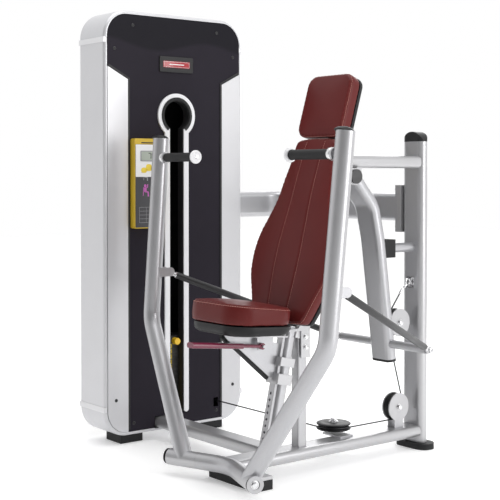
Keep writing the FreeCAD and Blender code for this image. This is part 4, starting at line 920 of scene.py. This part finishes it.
def line_plate(shape, points, width, proud, thick):
    """A strip of even width along a broken line on the tower's front."""
    line = [Vector(point) for point in points]
    left, right = [], []
    for index, point in enumerate(line):
        ahead = line[min(index + 1, len(line) - 1)] - line[max(index - 1, 0)]
        ahead.normalize()
        side = Vector((-ahead.y, ahead.x)) * width / 2
        left.append(point + side)
        right.append(point - side)
    outline = [tuple(point) for point in right + left[::-1]]
    shape.plate(outline, tower_point(0, 0, proud), Y, Z, thick)


def make_badge():
    low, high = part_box("badge")
    proud = high.x - TOWER_FACE
    z = (low.z + high.z) / 2
    front_plate("badge_field", round_rectangle(0.124, 0.025, 0.002), 0, z, proud - 0.0004, 0.0014, BADGE_RED,
                edge=0.0005)
    border = Shape()
    for sign in (-1, 1):
        add_front(border, round_rectangle(0.118, 0.0008, 0.0003, 3), 0, z + sign * 0.0100, proud + 0.0008,
                  0.0005)
        add_front(border, round_rectangle(0.0008, 0.0205, 0.0003, 3), sign * 0.0590, z, proud + 0.0008,
                  0.0005)
    add_front(border, round_rectangle(0.070, 0.0032, 0.0015, 4), 0, z, proud + 0.0008, 0.0005)
    border.piece("badge_lines", PRINT_WHITE)


SEGMENTS = {"top": (0, 1, 0), "middle": (0, 0, 0), "bottom": (0, -1, 0), "high_left": (-1, 0.5, 1),
            "high_right": (1, 0.5, 1), "low_left": (-1, -0.5, 1), "low_right": (1, -0.5, 1)}
DIGITS = {"7": ("top", "high_right", "low_right"), "4": ("high_left", "high_right", "middle", "low_right"),
          "0": ("top", "bottom", "high_left", "high_right", "low_left", "low_right")}


def add_digit(shape, digit, y, z, size, proud):
    """A seven-segment digit."""
    for segment in DIGITS[digit]:
        dy, dz, upright = SEGMENTS[segment]
        wide, tall = (size * 0.14, size * 0.46) if upright else (size * 0.46, size * 0.14)
        add_front(shape, round_rectangle(wide, tall, size * 0.06, 3), y + dy * size * 0.28,
                  z + dz * size * 0.5, proud, 0.0004)


def add_figure(shape, y, z, size, proud):
    """A small seated figure of plain limbs."""
    add_front(shape, round_rectangle(size * 0.22, size * 0.24, size * 0.10), y, z + size * 0.42, proud,
              0.0005)
    for points, width in (([(0.0, 0.28), (0.02, -0.08)], 0.24),
                          ([(0.0, 0.22), (0.22, 0.30), (0.24, 0.55)], 0.08),
                          ([(0.0, -0.06), (0.28, -0.10), (0.30, -0.46)], 0.12),
                          ([(-0.16, 0.30), (-0.2, -0.4)], 0.05)):
        line_plate(shape, [(y + px * size, z + pz * size) for px, pz in points], width * size, proud, 0.0005)


def make_placard():
    low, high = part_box("placard")
    proud = high.x - TOWER_FACE
    y = (low.y + high.y) / 2 - TOWER_Y
    wide = high.y - low.y
    # the sheet starts a little in from the case's near side, whose yellow rail stays visible
    sheet_y, sheet_wide = y + 0.0005, wide - 0.005
    tall = high.z - low.z - 0.026
    front_plate("placard_card", round_rectangle(sheet_wide, tall, 0.004), sheet_y, low.z + 0.004 + tall / 2,
                proud - 0.0004, 0.0012, PRINT_DARK)
    front_plate("placard_head", round_rectangle(sheet_wide - 0.002, 0.122, 0.003), sheet_y, high.z - 0.084,
                proud + 0.0006, 0.0010, PRINT_WHITE)
    bezel = Shape()
    add_front(bezel, round_rectangle(0.084, 0.040, 0.004), sheet_y, high.z - 0.066, proud + 0.0014, 0.0018,
              0.0008)
    bezel.piece("placard_bezel", PRINT_GREY)
    front_plate("placard_screen", round_rectangle(0.076, 0.033, 0.003), sheet_y, high.z - 0.066,
                proud + 0.0028, 0.0008, SCREEN)
    ink = Shape()
    for digit, shift in (("7", -0.002), ("0", 0.016)):
        add_digit(ink, digit, sheet_y + shift, high.z - 0.066, 0.021, proud + 0.0035)
    for shift in (-0.028, 0.028):
        line_plate(ink, [(sheet_y + shift - 0.009, high.z - 0.128),
                         (sheet_y + shift + 0.009, high.z - 0.128)],
                   0.0012, proud + 0.0015, 0.0004)
    for start, end in (((-0.036, -0.122), (0.036, -0.104)), ((-0.036, -0.128), (0.036, -0.112))):
        line_plate(ink, [(sheet_y + start[0], high.z + start[1]), (sheet_y + end[0], high.z + end[1])],
                   0.0010, proud + 0.0012, 0.0005)
    ink.piece("placard_ink", INK)
    coins = Shape()
    for shift, lift, tall in ((-0.026, -0.120, 0.020), (-0.004, -0.110, 0.026), (0.018, -0.114, 0.022)):
        add_front(coins, round_rectangle(0.026, tall, 0.0095, 6), sheet_y + shift, high.z + lift,
                  proud + 0.0015, 0.0010, 0.0004)
    coins.piece("placard_shapes", PRINT_YELLOW)
    figure = Shape()
    add_figure(figure, sheet_y - 0.020, low.z + 0.142, 0.046, proud + 0.0007)
    figure.piece("placard_figure", PRINT_MAGENTA)
    pale = Shape()
    add_figure(pale, sheet_y - 0.020, low.z + 0.196, 0.034, proud + 0.0007)
    for row in range(5):
        z = low.z + 0.022 + row * 0.0145
        line_plate(pale, [(sheet_y - 0.046, z), (sheet_y + 0.046, z)], 0.0012, proud + 0.0007, 0.0004)
    for column in range(4):
        line_plate(pale, [(sheet_y - 0.046 + column * 0.0306, low.z + 0.022),
                          (sheet_y - 0.046 + column * 0.0306, low.z + 0.080)], 0.0010, proud + 0.0007, 0.0004)
    pale.piece("placard_table", PRINT_GREY)
    front_plate("placard_top_line", round_rectangle(0.074, 0.0042, 0.0018, 3), sheet_y, high.z - 0.016, proud,
                0.0006, INK)


def make_panel_steps():
    """The dark raised step that runs beside each light strip."""
    half = 0.310 - 0.089 - 0.004
    step = Shape()
    for sign in (-1, 1):
        points = [(sign * half, 0.055), (sign * half, 1.3855), (sign * (half + 0.089), 1.4310)]
        line_plate(step, points, 0.008, -0.0005, 0.0036)
    step.piece("panel_steps", "black_plastic")


def make_slot_liner():
    """A dark wall behind the keyhole's edge, and the inner lip of its trim."""
    lip = Shape()
    outer = []
    radius, half, ring_z, bottom = 0.0600, 0.0325, 1.250, 0.100
    shoulder = ring_z - math.sqrt(radius ** 2 - half ** 2)
    start = math.asin(half / radius)
    for step in range(41):
        angle = -math.pi / 2 + start + (2 * math.pi - 2 * start) * step / 40
        outer.append((radius * math.cos(angle), ring_z + radius * math.sin(angle)))
    outline = [(half, bottom), (half, shoulder)] + outer[1:-1] + [(-half, shoulder), (-half, bottom)]
    inner = inset(outline, 0.003)
    lip.rings([[tower_point(y, z, depth) for y, z in loop]
               for loop, depth in ((outline, -0.030), (outline, 0.004), (inner, 0.004), (inner, -0.030))],
              closed=True)
    lip.piece("slot_liner", "black_plastic")
    ring = Shape()
    turns = [start - math.pi / 2 + 0.06 + (2 * math.pi - 2 * start - 0.12) * step / 60 for step in range(61)]
    section = ((0.0595, -0.0060), (0.0595, 0.0020), (0.0610, 0.0026), (0.0700, 0.0026), (0.0712, 0.0016),
               (0.0712, -0.0060))
    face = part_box("slot_trim")[1].x - TOWER_FACE
    ring.rings([[tower_point(reach * math.cos(a), ring_z + reach * math.sin(a), face + proud)
                 for reach, proud in section] for a in turns])
    ring.piece("keyhole_ring", "black_plastic")


def add_text(shape, text, size, centre, across, up):
    """Generic numerals as flat raised forms."""
    data = bpy.data.curves.new("numeral", "FONT")
    data.body, data.size, data.align_x, data.align_y, data.extrude = text, 1.0, "CENTER", "CENTER", 0.02
    holder = bpy.data.objects.new("numeral", data)
    bpy.context.scene.collection.objects.link(holder)
    bpy.context.view_layer.update()
    mesh = bpy.data.meshes.new_from_object(holder)
    out = across.cross(up)
    points = [centre + (across * v.co.x + up * v.co.y + out * v.co.z) * size for v in mesh.vertices]
    shape.add(points, [tuple(p.vertices) for p in mesh.polygons])
    bpy.data.objects.remove(holder)


def make_stack_labels():
    """Yellow labels with generic numbers on the weight plates, and a ribbed yellow knob on the pin."""
    low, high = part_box("weight_plates")
    pitch, thick = 0.0207, 0.020
    face = high.x
    tags, numerals = Shape(), Shape()
    for step in range(13):
        z = low.z + thick / 2 + pitch * step
        tags.plate(round_rectangle(0.022, 0.0165, 0.0015, 4), Vector((face - 0.0002, TOWER_Y, z)), Y, Z,
                   0.0008)
        add_text(numerals, str((13 - step) * 5 + 5), 0.0125, Vector((face + 0.0007, TOWER_Y, z)), Y, Z)
    tags.piece("plate_labels", PRINT_YELLOW)
    numerals.piece("plate_numbers", INK, smooth=False)
    pin_low, pin_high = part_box("selector_pin")
    middle = (pin_low + pin_high) / 2
    knob = Shape()
    foot = Vector((pin_high.x - 0.026, middle.y, middle.z))
    profile = mm((5.2, -2), (9, 0), (12.8, 1), (13.5, 3), (13.5, 6), (11.8, 9), (10.8, 13), (11.8, 18),
                 (13.4, 21.5), (13.5, 24), (12.4, 25.8), (1, 26.2))
    knob.lathe(profile, foot, X, 48)
    knob.piece("pin_knob", "pin_yellow", "selector_pin", "selector_pin")
    rod = Shape()
    rod.lathe(mm((2, 0), (4.4, 1.2), (5, 3), (5, 77)), Vector((pin_low.x, middle.y, middle.z)), X, 32)
    rod.piece("pin_rod", "bright_steel", "selector_pin")


def make_tower_back():
    """The rear cover's raised field with its screws."""
    field = Shape()
    outline = round_rectangle(0.520, 1.420, 0.070)
    field.plate(outline, Vector((TOWER_BACK + 0.0005, TOWER_Y, 0.8365)), Y * -1, Z, 0.003, 0.002)
    field.piece("rear_field", "black_plastic")
    screws = Shape()
    for y in (-0.284, 0.284):
        for z in (0.20, 0.62, 1.04, 1.46):
            add_screw(screws, Vector((TOWER_BACK, TOWER_Y + y, z)), X * -1)
    screws.piece("rear_screws", "bright_steel")


def add_screw(shape, foot, axis):
    shape.lathe(mm((6.5, 0), (6.4, 1.2), (5, 2.6), (3.2, 3), (2.8, 1.4), (0.5, 1.3)), foot, axis, 24)


def make_fasteners():
    """The fixed frame's screws and bolts, with their recesses, washers and chamfers."""
    screws = Shape()
    strip_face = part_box("side_strips")[1].x
    for face, across, height in ((strip_face, 0.275, 0.173), (TOWER_FACE, 0.195, 0.078),
                                 (TOWER_FACE, 0.197, 1.586), (TOWER_FACE, 0.278, 1.494)):
        for sign in (-1, 1):
            add_screw(screws, Vector((face, TOWER_Y + sign * across, height)), X)
    screws.piece("front_screws", "dark_steel")
    bolts = Shape()

    def bolt(foot, axis, across, thick):
        bolts.lathe([(across * 0.62, 0.0), (across * 0.62, 0.0014), (across * 0.58, 0.0020),
                     (across * 0.2, 0.0020)],
                    foot, axis, 32)
        add_hex(bolts, across, thick, foot + axis * 0.0018, axis)

    for height in (0.822, 0.965):
        for y in (0.4965, 0.5375):
            bolt(Vector((0.097, y, height)), X * -1, 0.020, 0.0065)
    for height in (0.430, 0.466):
        bolt(Vector((0.212, -0.068, height)), X, 0.0155, 0.0055)
    low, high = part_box("floor_pulley")
    bolt(Vector(((low.x + high.x) / 2, (low.y + high.y) / 2, 0.134)), Z, 0.025, 0.0095)
    middle = middle_of("base_pulley")
    bolts.lathe(mm((6.5, 0), (8, 1), (8, 36), (6.5, 37)), middle - X * 0.0185, X, 32)
    bolts.piece("frame_bolts", "bright_steel", "frame", "fasteners")


def make_gusset_trim():
    """The dark edging along the seat bracket's lower front edge."""
    line = [Vector((PRESS_X, y, z)) for y, z in ((-0.3945, 0.5020), (-0.3945, 0.4910), (-0.3798, 0.4762),
                                               (-0.3366, 0.4462), (-0.2050, 0.3350))]
    trim = Shape()
    for start, end in zip(line, line[1:]):
        ahead = (end - start).normalized()
        across = X.cross(ahead).normalized()
        rings = []
        for point in (start - ahead * 0.001, end + ahead * 0.001):
            rings.append([point + across * a + X * b for a, b in ((-0.007, -0.0062), (-0.007, 0.0062),
                                                                  (0.007, 0.0062), (0.007, -0.0062))])
        trim.rings(rings)
    trim.piece("gusset_edging", "rubber_black", "seat_carriage", smooth=False)


make_camera()
dress_cad_nodes()
make_studio()
make_backrest()
make_headrest()
make_seat()
for arm_side, arm_name in ((1, "right"), (-1, "left")):
    make_arm_ends(arm_side, arm_name)
    make_link(arm_side, arm_name)
make_pulleys()
make_cables()
make_badge()
make_placard()
make_panel_steps()
make_slot_liner()
make_stack_labels()
make_tower_back()
make_fasteners()
make_gusset_trim()
